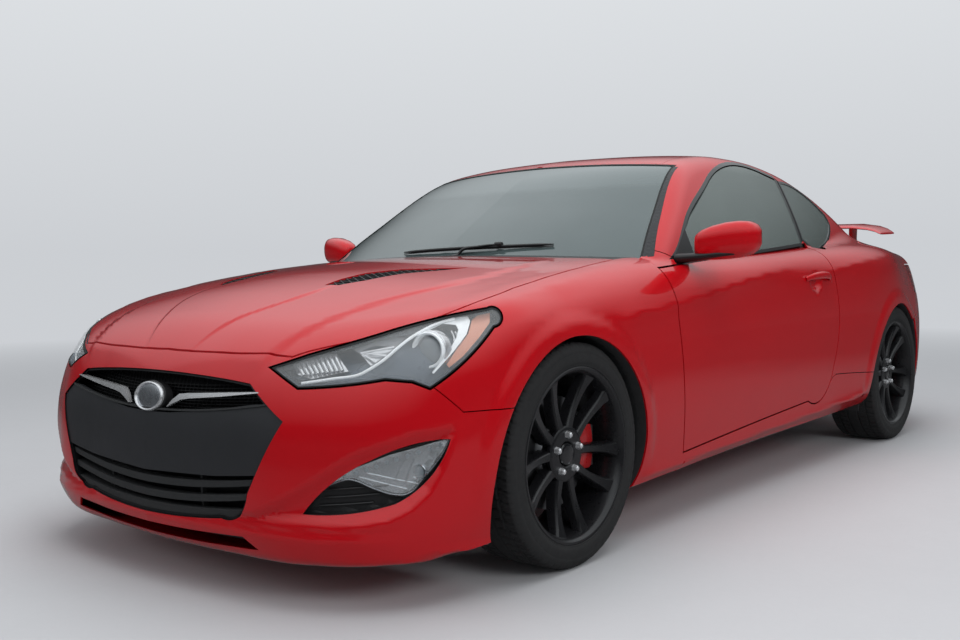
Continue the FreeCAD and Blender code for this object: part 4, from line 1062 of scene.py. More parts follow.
TURN_REFLECTOR = [(-1.190, 0.630), (-1.101, 0.659), (-1.074, 0.657), (-1.043, 0.616), (-1.140, 0.596),
                  (-1.175, 0.606)]
AMBER_ZONE = [(-0.716, 0.738), (-0.700, 0.749), (-0.664, 0.755), (-0.668, 0.730), (-0.700, 0.694),
              (-0.748, 0.648), (-0.786, 0.622), (-0.792, 0.630), (-0.766, 0.664), (-0.730, 0.704)]
PROJECTOR_AT = (-0.833, 0.666)
FOG_LENS = [(-1.115, 0.323), (-1.071, 0.354), (-1.039, 0.375), (-0.944, 0.410), (-0.788, 0.445),
            (-0.805, 0.411), (-0.862, 0.341), (-0.891, 0.312), (-0.907, 0.306), (-0.933, 0.308),
            (-0.989, 0.327), (-1.030, 0.345), (-1.046, 0.348), (-1.071, 0.342)]
FOG_LEDS = [(-1.082, 0.347), (-1.055, 0.359), (-1.026, 0.370), (-1.001, 0.378), (-0.976, 0.386),
            (-0.950, 0.395), (-0.925, 0.402), (-0.898, 0.410), (-0.870, 0.417), (-0.841, 0.425),
            (-0.812, 0.432)]
FOG_BULB = (-0.868, 0.361)


def corner_shape(grid, outline, depth, thick, grow=0.0, without=()):
    return plate(lower_field, grid, outline, "corner", -2.3, -1.5, depth, thick, grow, without)


def build_headlamps():
    grid = globe_grid(lower_field, (0, -1.45, 0.42), 22, 90, 5, 36, 0.010)
    fine = globe_grid(lower_field, (0, -1.45, 0.42), 22, 90, 5, 36, 0.006)
    hole = prism(HEADLAMP, "corner", *CORNER_CUT, -0.0045)
    wall = corner_shape(grid, HEADLAMP, 0.003, 0.052, -0.001, [hole])
    floor = corner_shape(grid, HEADLAMP, 0.052, 0.004, -0.001)
    step = corner_shape(fine, [(-1.24, 0.60), (-0.84, 0.56), (-0.74, 0.66), (-0.84, 0.75), (-0.86, 0.72),
                               (-1.05, 0.60)], 0.040, 0.012, 0)
    step = carve(step, [prism(HEADLAMP, "corner", *CORNER_CUT, -0.003)])
    housing = soften(joined([wall, floor, step]), 30)
    place("headlamp_housings", pair_of(housing), "body", LAMP_DARK, ["headlamps"])
    edge = soften(corner_shape(grid, HEADLAMP, -0.0006, 0.006, -0.0005,
                               [prism(HEADLAMP, "corner", *CORNER_CUT, -0.0035)]), 30)
    place("headlamp_gaskets", pair_of(edge), "body", RUBBER)
    bezel = corner_shape(fine, LAMP_BEZEL_BAND, 0.016, 0.020)
    bezel = carve(bezel, [prism(HEADLAMP, "corner", *CORNER_CUT, -0.004)])
    place("headlamp_bezels", pair_of(soften(bezel, 30)), "body", LAMP_BEZEL)
    band = corner_shape(fine, LIGHT_BAND, 0.013, 0.018)
    line = [corner_point(u, z, 0.016) for u, z in LIGHT_LINE]
    guide = tube(smooth_path(line, 60), 0.0042, 10)
    at = corner_point(*PROJECTOR_AT, 0.040)
    face = aim((0.20, -1.0, 0.03))
    halo = lathe([(0.004, 0.0385), (0.004, 0.0475), (0.013, 0.0480), (0.0155, 0.0450), (0.0130, 0.0405)], 72)
    halo = moved(halo, at, face)
    place("headlamp_light_guides", pair_of(soften(joined([band, guide, halo]), 40)), "body", LIGHT_GUIDE)
    amber = corner_shape(fine, AMBER_ZONE, 0.020, 0.012)
    place("headlamp_amber_inserts", pair_of(soften(amber, 30)), "body", AMBER)
    chrome = [corner_shape(fine, MID_REFLECTOR, 0.026, 0.020, 0, [prism(MID_NOTCH, "corner", *CORNER_CUT)]),
              corner_shape(fine, TURN_REFLECTOR, 0.030, 0.018)]
    for k in range(9):
        t = (k + 0.5) / 9
        low = corner_point(-1.165 + 0.112 * t, 0.604 + 0.014 * t, 0.027)
        high = corner_point(-1.180 + 0.108 * t, 0.630 + 0.026 * t, 0.027)
        chrome.append(tube([low, (low + high) / 2 - INWARD * 0.002, high], 0.0052, 8))
    tip = corner_point(-1.012, 0.663, 0.020)
    for u, z in ((-0.925, 0.676), (-0.945, 0.655), (-0.972, 0.638)):
        chrome.append(tube([tip, corner_point((u - 1.012) / 2, (z + 0.663) / 2, 0.022),
                            corner_point(u, z, 0.024)], (0.0016, 0.0028, 0.0046), 8))
    shroud = lathe([(-0.022, 0.036), (-0.022, 0.052), (0.002, 0.0515), (0.004, 0.0490), (0.003, 0.0420),
                    (0.000, 0.0375), (-0.004, 0.0360)], 72)
    chrome.append(moved(shroud, at, face))
    for k in range(3):
        fin = [corner_point(-0.775 + 0.010 * k, 0.712 - 0.002 * k, 0.032),
               corner_point(-0.768 + 0.010 * k, 0.694, 0.034),
               corner_point(-0.774 + 0.009 * k, 0.672 + 0.002 * k, 0.034)]
        chrome.append(tube(smooth_path(fin, 10), 0.0026, 8))
    place("headlamp_reflectors", pair_of(soften(joined(chrome), 36)), "body", CHROME)
    dome = [(-0.020, 0.0005), (-0.020, 0.0360)] + [(-0.004 + 0.016 * math.cos(a), 0.0362 * math.sin(a))
                                                    for a in np.linspace(math.pi / 2, 0.02, 12)]
    lens = moved(lathe(dome, 64), at, face)
    place("headlamp_projector_lenses", pair_of(soften(lens, 50)), "body", PROJECTOR_GLASS)
    cover = corner_shape(grid, HEADLAMP, 0.0008, 0.003, -0.003)
    set_normals(cover, lower_field)
    place("headlamp_lenses", pair_of(cover), "body", LENS, field=lower_field)


def build_fog_lamps():
    grid = globe_grid(lower_field, NOSE_EYE, 24, 92, -24, 12, 0.008)
    hole = prism(FOG_POCKET, "corner", *CORNER_CUT, -0.005)
    floor = corner_shape(grid, FOG_POCKET, 0.026, 0.004, 0.002)
    wall = corner_shape(grid, FOG_POCKET, 0.002, 0.028, 0.003,
                        [prism(FOG_POCKET, "corner", *CORNER_CUT, -0.0005)])
    ridge = corner_shape(grid, FOG_LENS, 0.014, 0.013, 0.006, [prism(FOG_LENS, "corner", *CORNER_CUT, 0.001)])
    ridge = carve(ridge, [prism(FOG_POCKET, "corner", *CORNER_CUT, 0)])
    slats = []
    for k in range(3):
        z = 0.276 + 0.020 * k
        row = [corner_point(u, z + 0.16 * (u + 1.13) * 0.5, 0.020)
               for u in np.linspace(-1.125 + 0.012 * k, -0.985 + 0.02 * k, 6)]
        slats.append(tube(row, 0.0024, 6))
    bezel = soften(joined([floor, wall, ridge] + slats), 30)
    place("fog_lamp_bezels", pair_of(bezel), "body", BLACK_TRIM, ["fog_lamps"])
    bowl = [corner_shape(grid, FOG_LENS, 0.021, 0.004, -0.002)]
    upper = FOG_LENS[:5]
    strip = upper + [(u + 0.004, z - 0.020) for u, z in upper[::-1]]
    strip = corner_shape(grid, strip, 0.013, 0.008, 0)
    strip = carve(strip, [prism(FOG_LENS, "corner", *CORNER_CUT, -0.002)])
    bulb_at = corner_point(*FOG_BULB, 0.016)
    face = aim((0.35, -1.0, 0.0))
    bulb = lathe([(-0.010, 0.014), (-0.010, 0.0205), (0.003, 0.0205), (0.005, 0.0190), (0.003, 0.0172),
                  (-0.004, 0.0150)], 48)
    bowl += [strip, moved(bulb, bulb_at, face)]
    for u0, z0, u1, z1 in ((-1.02, 0.352, -0.900, 0.318), (-1.000, 0.362, -0.872, 0.330),
                           (-0.930, 0.340, -0.905, 0.392), (-0.905, 0.330, -0.880, 0.395),
                           (-0.850, 0.350, -0.820, 0.405)):
        a = corner_point(u0, z0, 0.020)
        b = corner_point(u1, z1, 0.020)
        bowl.append(tube([a, (a + b) / 2 - INWARD * 0.003, b], 0.0030, 8))
    place("fog_lamp_reflectors", pair_of(soften(joined(bowl), 32)), "body", SATIN_BRIGHT)
    leds = []
    for u, z in FOG_LEDS:
        dot = lathe([(-0.004, 0.0005), (-0.004, 0.0062), (0.0, 0.0062), (0.0018, 0.0045), (0.0024, 0.0005)],
                    16)
        leds.append(moved(dot, corner_point(u, z - 0.006, 0.0135), aim((0.7, -0.7, 0.05))))
    inner = [(-0.008, 0.0005), (-0.008, 0.0150)] + [(-0.003 + 0.008 * math.cos(a), 0.0150 * math.sin(a))
                                                    for a in np.linspace(math.pi / 2, 0.03, 8)]
    leds.append(moved(lathe(inner, 40), bulb_at, face))
    place("fog_lamp_bulbs", pair_of(soften(joined(leds), 40)), "body", PROJECTOR_GLASS)
    line = [corner_point(u, z, 0.010) for u, z in FOG_LENS[4:] + FOG_LENS[:1]]
    place("fog_lamp_trims", pair_of(soften(tube(smooth_path(line, 50), 0.0018, 8), 60)), "body", SATIN)
    cover = corner_shape(grid, FOG_LENS, 0.009, 0.002, -0.0005)
    place("fog_lamp_lenses", pair_of(cover), "body", LENS, field=lower_field)


# Grille: openings and bright parts as seen from the front: across, height
def arch_line(x0, x1, mid, rise, n=15):
    return [(x, mid + rise * x * x) for x in np.linspace(x0, x1, n)]


def band(x0, x1, top, rise, thick, taper=0.0):
    upper = arch_line(x0, x1, top, rise)
    return upper + [(x, z - thick * (1 - taper * (x / x1) ** 2)) for x, z in upper[::-1]]


WING = [(0.093, 0.503), (0.112, 0.524), (0.138, 0.5415), (0.170, 0.5450), (0.436, 0.5625), (0.440, 0.5600),
        (0.300, 0.5430), (0.185, 0.5320), (0.150, 0.5270), (0.120, 0.5150)]
COVER = [(-0.545, 0.493), (-0.470, 0.530), (-0.430, 0.530), (-0.250, 0.503), (-0.100, 0.488), (0.0, 0.485),
         (0.100, 0.488), (0.250, 0.503), (0.430, 0.530), (0.470, 0.530), (0.545, 0.493), (0.470, 0.352),
         (0.300, 0.334), (0, 0.322), (-0.300, 0.334), (-0.470, 0.352)]
EMBLEM_AT = (0.0, 0.527)


def front_shape(grid, outline, depth, thick, grow=0.0, without=(), inside=True):
    mesh = plate(lower_field, grid, outline, "y", -2.45, -2.0, depth, thick, grow, without)
    return carve(mesh, [prism(GRILLE, "y", -2.5, -1.9, -0.001)]) if inside else mesh


def build_grille():
    grid = globe_grid(lower_field, NOSE_EYE, -46, 46, -22, 22, 0.010)
    back = front_shape(grid, GRILLE, 0.060, 0.004, 0.004, (), False)
    wall = front_shape(grid, GRILLE, 0.001, 0.060, 0.0045, [prism(GRILLE, "y", -2.5, -1.9, -0.0005)], False)
    frame_band = front_shape(grid, GRILLE, 0.006, 0.016, -0.0005, [prism(GRILLE, "y", -2.5, -1.9, -0.008)])
    mesh_rows = []
    for k in range(9):
        z = 0.560 - 0.0085 * k
        mesh_rows.append(front_shape(grid, band(-0.50, 0.50, z, 0.10, 0.0020), 0.044, 0.010))
    uprights = []
    for x in np.linspace(-0.46, 0.46, 54):
        uprights.append(tube([front_point(x, 0.47, 0.047), front_point(x, 0.585, 0.047)], 0.0014, 6))
    place("grille_recess", soften(joined([back, wall, frame_band] + mesh_rows + uprights), 30), "body",
          GRILLE_BLACK, ["grille"])
    cover = front_shape(grid, COVER, 0.005, 0.010)
    set_normals(cover, lower_field)
    place("grille_cover_band", cover, "body", COVER_VINYL, field=lower_field)
    trim = front_shape(grid, band(-0.515, 0.515, 0.4965, 0.17, 0.0045), 0.002, 0.012)
    blades = [trim]
    for top, rise, thick, depth in ((0.306, 0.16, 0.020, 0.012), (0.266, 0.18, 0.020, 0.012),
                                    (0.232, 0.14, 0.030, 0.008)):
        blades.append(front_shape(grid, band(-0.50, 0.50, top, rise, thick, 0.3), depth, 0.030))
    for x in (-0.22, 0.22):
        blades.append(front_shape(grid, [(x - 0.004, 0.2), (x + 0.004, 0.2), (x + 0.004, 0.34),
                                         (x - 0.004, 0.34)], 0.030, 0.016))
    place("grille_slats", soften(joined(blades), 30), "body", GRAINED)
    wing = front_shape(grid, WING, -0.001, 0.013, 0, (), False)
    rim = lathe([(-0.008, 0.0395), (-0.008, 0.0480), (0.001, 0.0480), (0.0045, 0.0462), (0.0055, 0.0440),
                 (0.0045, 0.0418), (0.001, 0.0398)], 96)
    at = front_point(*EMBLEM_AT, 0.002)
    face = aim((0, -1.0, 0.22))
    oval = Matrix.Diagonal((1, 1.42, 0.88, 1))
    rim = moved(rim, at, face @ oval)
    place("grille_wings", soften(joined([wing, mirrored(wing), rim]), 34), "body", CHROME)
    dome = [(-0.010, 0.0005), (-0.010, 0.0400)] + [(-0.001 + 0.0045 * math.cos(a), 0.0400 * math.sin(a))
                                                    for a in np.linspace(math.pi / 2, 0.02, 10)]
    disc = moved(lathe(dome, 72), at, face @ oval)
    seat = moved(lathe([(-0.030, 0.0005), (-0.030, 0.052), (-0.006, 0.052), (-0.004, 0.049),
                        (-0.006, 0.0005)], 72), at, face @ oval)
    place("grille_badge_disc", soften(disc, 50), "body", SATIN)
    place("grille_badge_seat", soften(seat, 40), "body", BLACK_TRIM)


# Wheels, built about the x axis with the outer face towards +x
def rim_parts(half):
    face = half - 0.042
    barrel = lathe([(half - 0.001, 0.2500), (half, 0.2555), (half - 0.0015, 0.2585), (half - 0.006, 0.2595),
                    (half - 0.011, 0.2575), (half - 0.013, 0.2505), (half - 0.030, 0.2450), (0.030, 0.2330),
                    (-half + 0.034, 0.2400), (-half + 0.013, 0.2500), (-half + 0.011, 0.2575),
                    (-half + 0.004, 0.2595), (-half, 0.2560), (-half, 0.2480), (-half + 0.030, 0.2340),
                    (0.030, 0.2270), (half - 0.034, 0.2350), (half - 0.014, 0.2400), (half - 0.006, 0.2440),
                    ], 144)
    hub = lathe([(-0.010, 0.032), (-0.010, 0.066), (face - 0.030, 0.070), (face - 0.012, 0.083),
                 (face - 0.004, 0.082), (face - 0.0005, 0.0765), (face, 0.0720), (face, 0.0400),
                 (face - 0.002, 0.0370), (face - 0.008, 0.0345), (face - 0.010, 0.032)], 96)
    cap = lathe([(face - 0.012, 0.0005), (face - 0.012, 0.0335), (face - 0.002, 0.0335),
                 (face + 0.002, 0.0310), (face + 0.0035, 0.0240), (face + 0.0045, 0.0120),
                 (face + 0.005, 0.0005)], 64)
    spokes = []
    steps = np.linspace(0, 1, 12)
    for pair in range(5):
        for side in (-1, 1):
            rings = []
            for t in steps:
                r = 0.052 + (0.243 - 0.052) * t
                mid = side * (0.019 + 0.042 * t ** 0.85)
                flare = 0.009 * max(0, t - 0.82) / 0.18
                wide = 0.0185 - 0.0045 * math.sin(math.pi * min(1, t * 1.15)) + flare
                top = face - 0.001 - 0.010 * math.sin(math.pi * t) * 0.8 + (half - 0.013 - face) * t ** 1.6
                deep = 0.040 - 0.012 * t
                edge = 0.0055
                ring = [(-wide - 0.004, -deep), (-wide, -edge - 0.004), (-wide + edge * 0.5, -edge * 0.45),
                        (-wide + edge, 0), (wide - edge, 0), (wide - edge * 0.5, -edge * 0.45),
                        (wide, -edge - 0.004), (wide + 0.004, -deep)]
                rings.append([(top + x, mid + y, r) for y, x in ring])
            mesh = rings_mesh(rings)
            turn = Matrix.Rotation(-math.radians(36 + 72 * pair), 4, "X")
            spokes.append(moved(mesh, turn=turn))
    body = soften(joined([barrel, hub] + spokes), 28)
    nuts = []
    for k in range(5):
        a = math.radians(72 * k)
        nut = lathe([(face - 0.012, 0.0005), (face - 0.012, 0.0125), (face - 0.009, 0.0125),
                     (face + 0.010, 0.0105), (face + 0.015, 0.0085), (face + 0.0175, 0.0045),
                     (face + 0.018, 0.0005)], 6)
        moved(nut, (0, 0.0572 * math.sin(a), 0.0572 * math.cos(a)))
        nuts.append(nut)
    nuts = soften(joined(nuts), 24)
    disc = soften(joined([
        lathe([(0.0060, 0.098), (0.0060, 0.1675), (0.0052, 0.1680), (-0.0010, 0.1680), (-0.0018, 0.1675),
               (-0.0018, 0.098)], 144),
        lathe([(0.0160, 0.092), (0.0160, 0.1675), (0.0168, 0.1680), (0.0172, 0.1675), (0.0172, 0.092)], 144),
        lathe([(-0.0090, 0.098), (-0.0090, 0.1655), (0.0160, 0.1655), (0.0160, 0.098)], 96),
        lathe([(0.0150, 0.070), (0.0150, 0.0960), (0.0260, 0.0900), (face - 0.032, 0.0840),
               (face - 0.032, 0.070)], 72),
    ]), 30)
    return body, cap, nuts, disc


def tyre_mesh(width, radius):
    """Tyre with four round grooves and cross grooves cut into its blocks."""
    w = width / 2
    seat = w - 0.015
    bead = [(-seat + 0.002, 0.2502), (-w + 0.0085, 0.2560), (-w + 0.0040, 0.2610), (-w + 0.0035, 0.2655),
            (-w + 0.0015, 0.2680), (-w + 0.0004, 0.2760), (-w, 0.2870), (-w + 0.0016, 0.2970),
            (-w + 0.0018, 0.2985), (-w + 0.0012, 0.3000), (-w + 0.0030, radius - 0.022),
            (-w + 0.0060, radius - 0.0145), (-w + 0.0105, radius - 0.0080)]
    tread = []
    for x in np.linspace(-w + 0.016, w - 0.016, 41):
        drop = 0.0034 * (abs(x) / (w - 0.016)) ** 2.4
        tread.append((x, radius - drop))
    far_bead = [(-x, r) for x, r in bead[::-1]]
    profile = np.array(bead + tread + far_bead + [(seat - 0.010, 0.2470), (-seat + 0.010, 0.2470)])
    turns = 384
    t = np.arange(turns) / turns * math.tau
    x = np.broadcast_to(profile[:, 0], (turns, len(profile))).copy()
    r = np.broadcast_to(profile[:, 1], (turns, len(profile))).copy()
    step = np.arange(turns)[:, None]
    across = profile[:, 0][None, :] / w
    off = np.abs(across)
    on_tread = (profile[:, 1] > radius - 0.0045)[None, :]
    by_tread = (profile[:, 1] > radius - 0.0150)[None, :] & ~on_tread
    round_groove = on_tread & ((np.abs(off - 0.20) < 0.024) | (np.abs(off - 0.56) < 0.024))
    pitch = 6
    slant = np.round(np.sign(across) * off * 5.4).astype(int)
    gap = (step + slant) % pitch == 0
    cross = on_tread & gap & (off > 0.27)
    fine_cut = on_tread & ((step + slant + 3) % pitch == 0) & (off > 0.60)
    shoulder = by_tread & gap & (off > 0.8)
    r = (r - 0.0065 * round_groove - 0.0045 * (cross & ~round_groove)
         - 0.002 * (fine_cut & ~round_groove & ~cross) - 0.0026 * shoulder)
    rings = np.stack([x, r * np.sin(t)[:, None], r * np.cos(t)[:, None]], -1)
    return soften(rings_mesh(rings, loop=True), 34)


def caliper_mesh():
    """Brake caliper over the disc's rear edge, with ribs and two pistons' bulges."""
    rows = []
    for z, inner, outer_y in ((-0.066, 0.118, 0.170), (-0.060, 0.104, 0.178), (-0.030, 0.097, 0.1845),
                              (0.0, 0.094, 0.186), (0.030, 0.097, 0.1845), (0.060, 0.104, 0.178),
                              (0.066, 0.118, 0.170)):
        rows.append([(0.0225, inner, z), (0.034, inner + 0.002, z), (0.0385, inner + 0.010, z),
                     (0.0385, outer_y - 0.012, z), (0.034, outer_y, z), (-0.026, outer_y, z),
                     (-0.0305, outer_y - 0.008, z), (-0.0305, inner + 0.006, z), (-0.022, inner, z),
                     (-0.016, inner + 0.001, z), (-0.016, 0.1735, z), (0.0225, 0.1735, z)])
    return soften(rings_mesh(rows), 30)


def build_wheels():
    for end, y, z, track, width, radius in (("front", FRONT_AXLE_Y, FRONT_TYRE_R, 1.600, 0.225, FRONT_TYRE_R),
                                            ("rear", REAR_AXLE_Y, REAR_TYRE_R, 1.590, 0.240, REAR_TYRE_R)):
        half = width / 2 - 0.004
        rim, cap, nuts, disc = rim_parts(half)
        tyre = tyre_mesh(width, radius)
        caliper = caliper_mesh()
        for m in (rim, cap, nuts, disc, tyre, caliper):
            moved(m, (track / 2, y, z))
        for side in ("left", "right"):
            flip = side == "right"
            body = "wheel_" + end + "_" + side
            tag = end + "_" + side
            pieces = [mirrored(m) if flip else m for m in (rim, cap, nuts, disc, tyre, caliper)]
            place("rim_" + tag + "_spokes", pieces[0], body, RIM_PAINT, ["rim_" + tag])
            place("rim_" + tag + "_cap", pieces[1], body, GLOSS_BLACK, slot="rim_paint")
            place("rim_" + tag + "_nuts", pieces[2], body, CHROME)
            place("rim_" + tag + "_disc", pieces[3], body, DISC)
            place("tyre_" + tag + "_tread", pieces[4], body, TYRE, ["tyre_" + tag])
            place("caliper_" + tag, pieces[5], side + "_knuckle" if end == "front" else "body", CALIPER)


# Trim, mirrors, handles and wiper
def side_shape(grid, outline, depth, thick, grow=0.0, without=(), field=None):
    return plate(field or greenhouse_field, grid, outline, "x", *LEFT_CUT, depth, thick, grow, without)


WINDOW_LINE = [(-0.800, 0.874), (-0.716, 0.909), (-0.478, 1.072), (-0.195, 1.209),
               (0.100, 1.303, 0.420, 1.296), (0.560, 1.273)]


def build_window_trim():
    grid = barrel_grid(greenhouse_field, -0.90, 1.20, 4, 66, 0.012, 0.70)
    upper = polyline(WINDOW_LINE, 24)
    rail = [side_shape(grid, ribbon(smooth_path(upper, 60), 0.014), -0.0012, 0.010)]
    quarter = side_shape(grid, QUARTER_GLASS, -0.0012, 0.008, 0.005,
                         [prism(QUARTER_GLASS, "x", *LEFT_CUT, -0.007)])
    back = [(0.930, 1.190), (1.035, 1.134), (1.068, 1.100), (1.052, 1.062), (0.930, 1.000), (0.830, 0.974),
            (0.800, 0.960), (0.900, 0.955), (1.080, 1.030), (1.110, 1.110), (1.050, 1.160)]
    back = side_shape(grid, back, -0.0014, 0.007)
    back = carve(back, [prism(QUARTER_GLASS, "x", *LEFT_CUT, 0.005)],
                 [prism([(0.5, 0.97), (0.62, 1.25), (0.86, 1.212), (1.000, 1.142), (1.032, 1.104),
                         (1.015, 1.070), (0.905, 1.016), (0.76, 0.975)], "x", *LEFT_CUT)])
    post = side_shape(grid, PILLAR, 0.0012, 0.012, 0.003)
    place("window_frames", pair_of(soften(joined(rail + [quarter, back, post]), 30)), "body", GLOSS_BLACK)
    sill = ribbon([on_belt(y) for y in np.linspace(-0.735, 0.500, 30)], 0.012)
    sill = side_shape(grid, [(y, z + 0.003) for y, z in sill], -0.0010, 0.010)
    sail = side_shape(grid, [on_belt(-0.742), on_belt(-0.560), (-0.560, 1.012), (-0.700, 0.915)], -0.0016,
                      0.010)
    on_doors("belt_trim", soften(joined([sill, sail]), 30), BLACK_TRIM)


def build_screen_trim():
    grid = barrel_grid(greenhouse_field, -1.15, -0.30, 15, 165, 0.012, 0.70)
    inner = [(-0.712, 0.925), (0, 0.965, 0.712, 0.925), (0.560, 1.238), (0, 1.262, -0.560, 1.238),
             (-0.712, 0.925)]
    frit = carve(shell_mesh("frit", greenhouse_field, grid, 0.0052, 0.0012),
                 [prism(WINDSCREEN, "y", *SCREEN_CUT, -0.001)], [prism(inner, "y", -1.5, -0.2)])
    place("windscreen_frit", frit, "body", FRIT, field=greenhouse_field)
    edge = carve(shell_mesh("edge", greenhouse_field, grid, -0.0008, 0.006),
                 [prism(WINDSCREEN, "y", *SCREEN_CUT, 0.003)], [prism(WINDSCREEN, "y", -1.5, -0.2, -0.003)])
    strip = [(0.766, 0.893), (0.595, 1.262), (0.611, 1.262), (0.797, 0.893)]
    side = carve(shell_mesh("edge", greenhouse_field, grid, -0.0010, 0.006), [prism(strip, "y", -1.4, -0.3)],
                 [prism(WINDSCREEN, "y", -1.5, -0.2, 0.002)])
    place("screen_side_trim", pair_of(soften(side, 30)), "body", FRIT)
    rear = barrel_grid(greenhouse_field, 0.78, 1.66, 30, 150, 0.018, 0.70)
    edge2 = carve(shell_mesh("edge", greenhouse_field, rear, -0.0006, 0.006),
                  [prism(BACKLIGHT, "z", 0.90, 1.4, 0.003)], [prism(BACKLIGHT, "z", 0.80, 1.5, -0.003)])
    frit2 = carve(shell_mesh("frit", greenhouse_field, rear, 0.0052, 0.0012),
                  [prism(BACKLIGHT, "z", 0.90, 1.4, -0.001)], [prism(BACKLIGHT, "z", 0.80, 1.5, -0.035)])
    place("rear_window_frit", frit2, "body", FRIT, field=greenhouse_field)
    place("screen_seals", soften(joined([edge, edge2]), 30), "body", RUBBER)


def box_ring(x, y, z, half_y, half_z, power=2.7, n=40, cut=0.76):
    """Rounded square ring across the x axis, flattened at its rear side."""
    a = turn_steps(n)
    r = squircle(a, power)
    across = np.minimum(r * np.cos(a), cut)
    return np.stack([np.full(n, x), y + half_y * across, z + half_z * r * np.sin(a)], -1)


MIRROR_ROWS = [(0.868, 0.020, 0.030, 0.944), (0.875, 0.038, 0.044, 0.946), (0.895, 0.050, 0.053, 0.950),
               (0.930, 0.057, 0.060, 0.956), (0.975, 0.060, 0.064, 0.962), (1.015, 0.059, 0.063, 0.966),
               (1.045, 0.053, 0.057, 0.969), (1.064, 0.042, 0.045, 0.971), (1.0750, 0.025, 0.028, 0.972),
               (1.0782, 0.009, 0.010, 0.972)]


def build_mirrors():
    rings = [box_ring(x, -0.650 + (x - 0.900) * 0.25, z, hy, hz) for x, hy, hz, z in MIRROR_ROWS]
    shell = rings_mesh(rings)
    shell = soften(shell, 50)
    glass_rings = [box_ring(x, -0.650 + (x - 0.900) * 0.25 + 0.002, z, hy, hz * 0.84, cut=0.78) for x, hy, hz,
                   z in MIRROR_ROWS[2:8]]
    glass_mesh = soften(rings_mesh(glass_rings), 40)
    base = []
    for x, y0, y1, z0, z1 in ((0.812, -0.725, -0.640, 0.886, 0.920), (0.850, -0.715, -0.632, 0.889, 0.921),
                              (0.880, -0.705, -0.620, 0.893, 0.922), (0.960, -0.690, -0.600, 0.904, 0.926),
                              (1.010, -0.668, -0.596, 0.909, 0.926)):
        base.append(box_ring(x, (y0 + y1) / 2, (z0 + z1) / 2, (y1 - y0) / 2, (z1 - z0) / 2, 2.6, 28, 1.0))
    base = soften(rings_mesh(base), 40)
    on_doors("mirror_shell", shell, PAINT, "mirror")
    on_doors("mirror_base", base, BLACK_TRIM)
    on_doors("mirror_glass", glass_mesh, CHROME, slot="window_glass")


def side_point(y, z, out=0.0):
    """Place on the left flank at a station and height, moved outwards."""
    x = np.linspace(1.0, 0.6, 401)
    p = np.stack([x, np.full_like(x, y), np.full_like(x, z)], -1)
    return skin_hit(p) + np.array([out, 0, 0])


def build_handles():
    path = [(0.258, 0.815, 0.002), (0.285, 0.824, 0.016), (0.330, 0.829, 0.024), (0.400, 0.831, 0.025),
            (0.455, 0.826, 0.021), (0.492, 0.817, 0.008), (0.505, 0.812, -0.002)]
    line = smooth_path([side_point(y, z, out) for y, z, out in path], 40)
    wide = 0.0150 * np.sin(np.linspace(0.32, math.pi - 0.32, 40)) ** 0.4
    bar = soften(tube(line, wide, 20, 0.52, (1, 0, 0)), 60)
    lock = lathe([(-0.004, 0.0005), (-0.004, 0.0085), (0.001, 0.0085), (0.0022, 0.0070), (0.0026, 0.0005)],
                 32)
    lock = soften(moved(lock, side_point(0.516, 0.806, 0.0005)), 40)
    on_doors("door_handle", bar, PAINT)
    on_doors("door_lock", lock, PAINT)


def screen_point(x, y, lift=0.0):
    """Place on the windscreen or roof above a plan point."""
    return np.array([x, y, float(roof_height(np.array(abs(x)), np.array(y))) + lift])


def build_wiper():
    arm = [screen_point(0.085, -1.045, -0.004), screen_point(0.10, -1.030, 0.016),
           screen_point(0.17, -1.012, 0.022), screen_point(0.245, -0.992, 0.020)]
    arm = tube(smooth_path(arm, 24), np.interp(np.linspace(0, 1, 24), [0, 0.4, 1], [0.0105, 0.0085, 0.0050]),
               10, 0.6)
    blade = [screen_point(-0.205, -1.012, 0.010), screen_point(0.0, -1.016, 0.013),
             screen_point(0.22, -0.996, 0.013), screen_point(0.455, -0.942, 0.010)]
    line = smooth_path(blade, 40)
    spine = tube(line, np.interp(np.linspace(0, 1, 40), [0, 0.08, 0.92, 1], [0.003, 0.0062, 0.0062, 0.003]),
                 8, 0.8)
    lip = tube(line - np.array([0, 0, 0.0065]), 0.0024, 6)
    pivot = lathe([(-0.012, 0.0005), (-0.012, 0.0185), (0.006, 0.0185), (0.012, 0.0150), (0.014, 0.0005)], 32)
    pivot = moved(pivot, (0.085, -1.047, float(roof_height(np.array(0.085), np.array(-1.047))) + 0.002),
                  aim((0, -0.25, 1), (0, 1, 0)))
    joint = moved(lathe([(-0.016, 0.0005), (-0.016, 0.008), (-0.012, 0.0095), (0.012, 0.0095), (0.016, 0.008),
                         (0.016, 0.0005)], 20), screen_point(0.245, -0.990, 0.018))
    nozzles = []
    for x in (-0.52, 0.36):
        nozzle = [screen_point(x - 0.018, -1.040, 0.000), screen_point(x, -1.036, 0.0085),
                  screen_point(x + 0.018, -1.040, 0.000)]
        nozzles.append(tube(smooth_path(nozzle, 9), 0.0065, 8))
    place("windscreen_wiper", soften(joined([arm, spine, lip, pivot, joint] + nozzles), 40), "body",
          BLACK_TRIM)


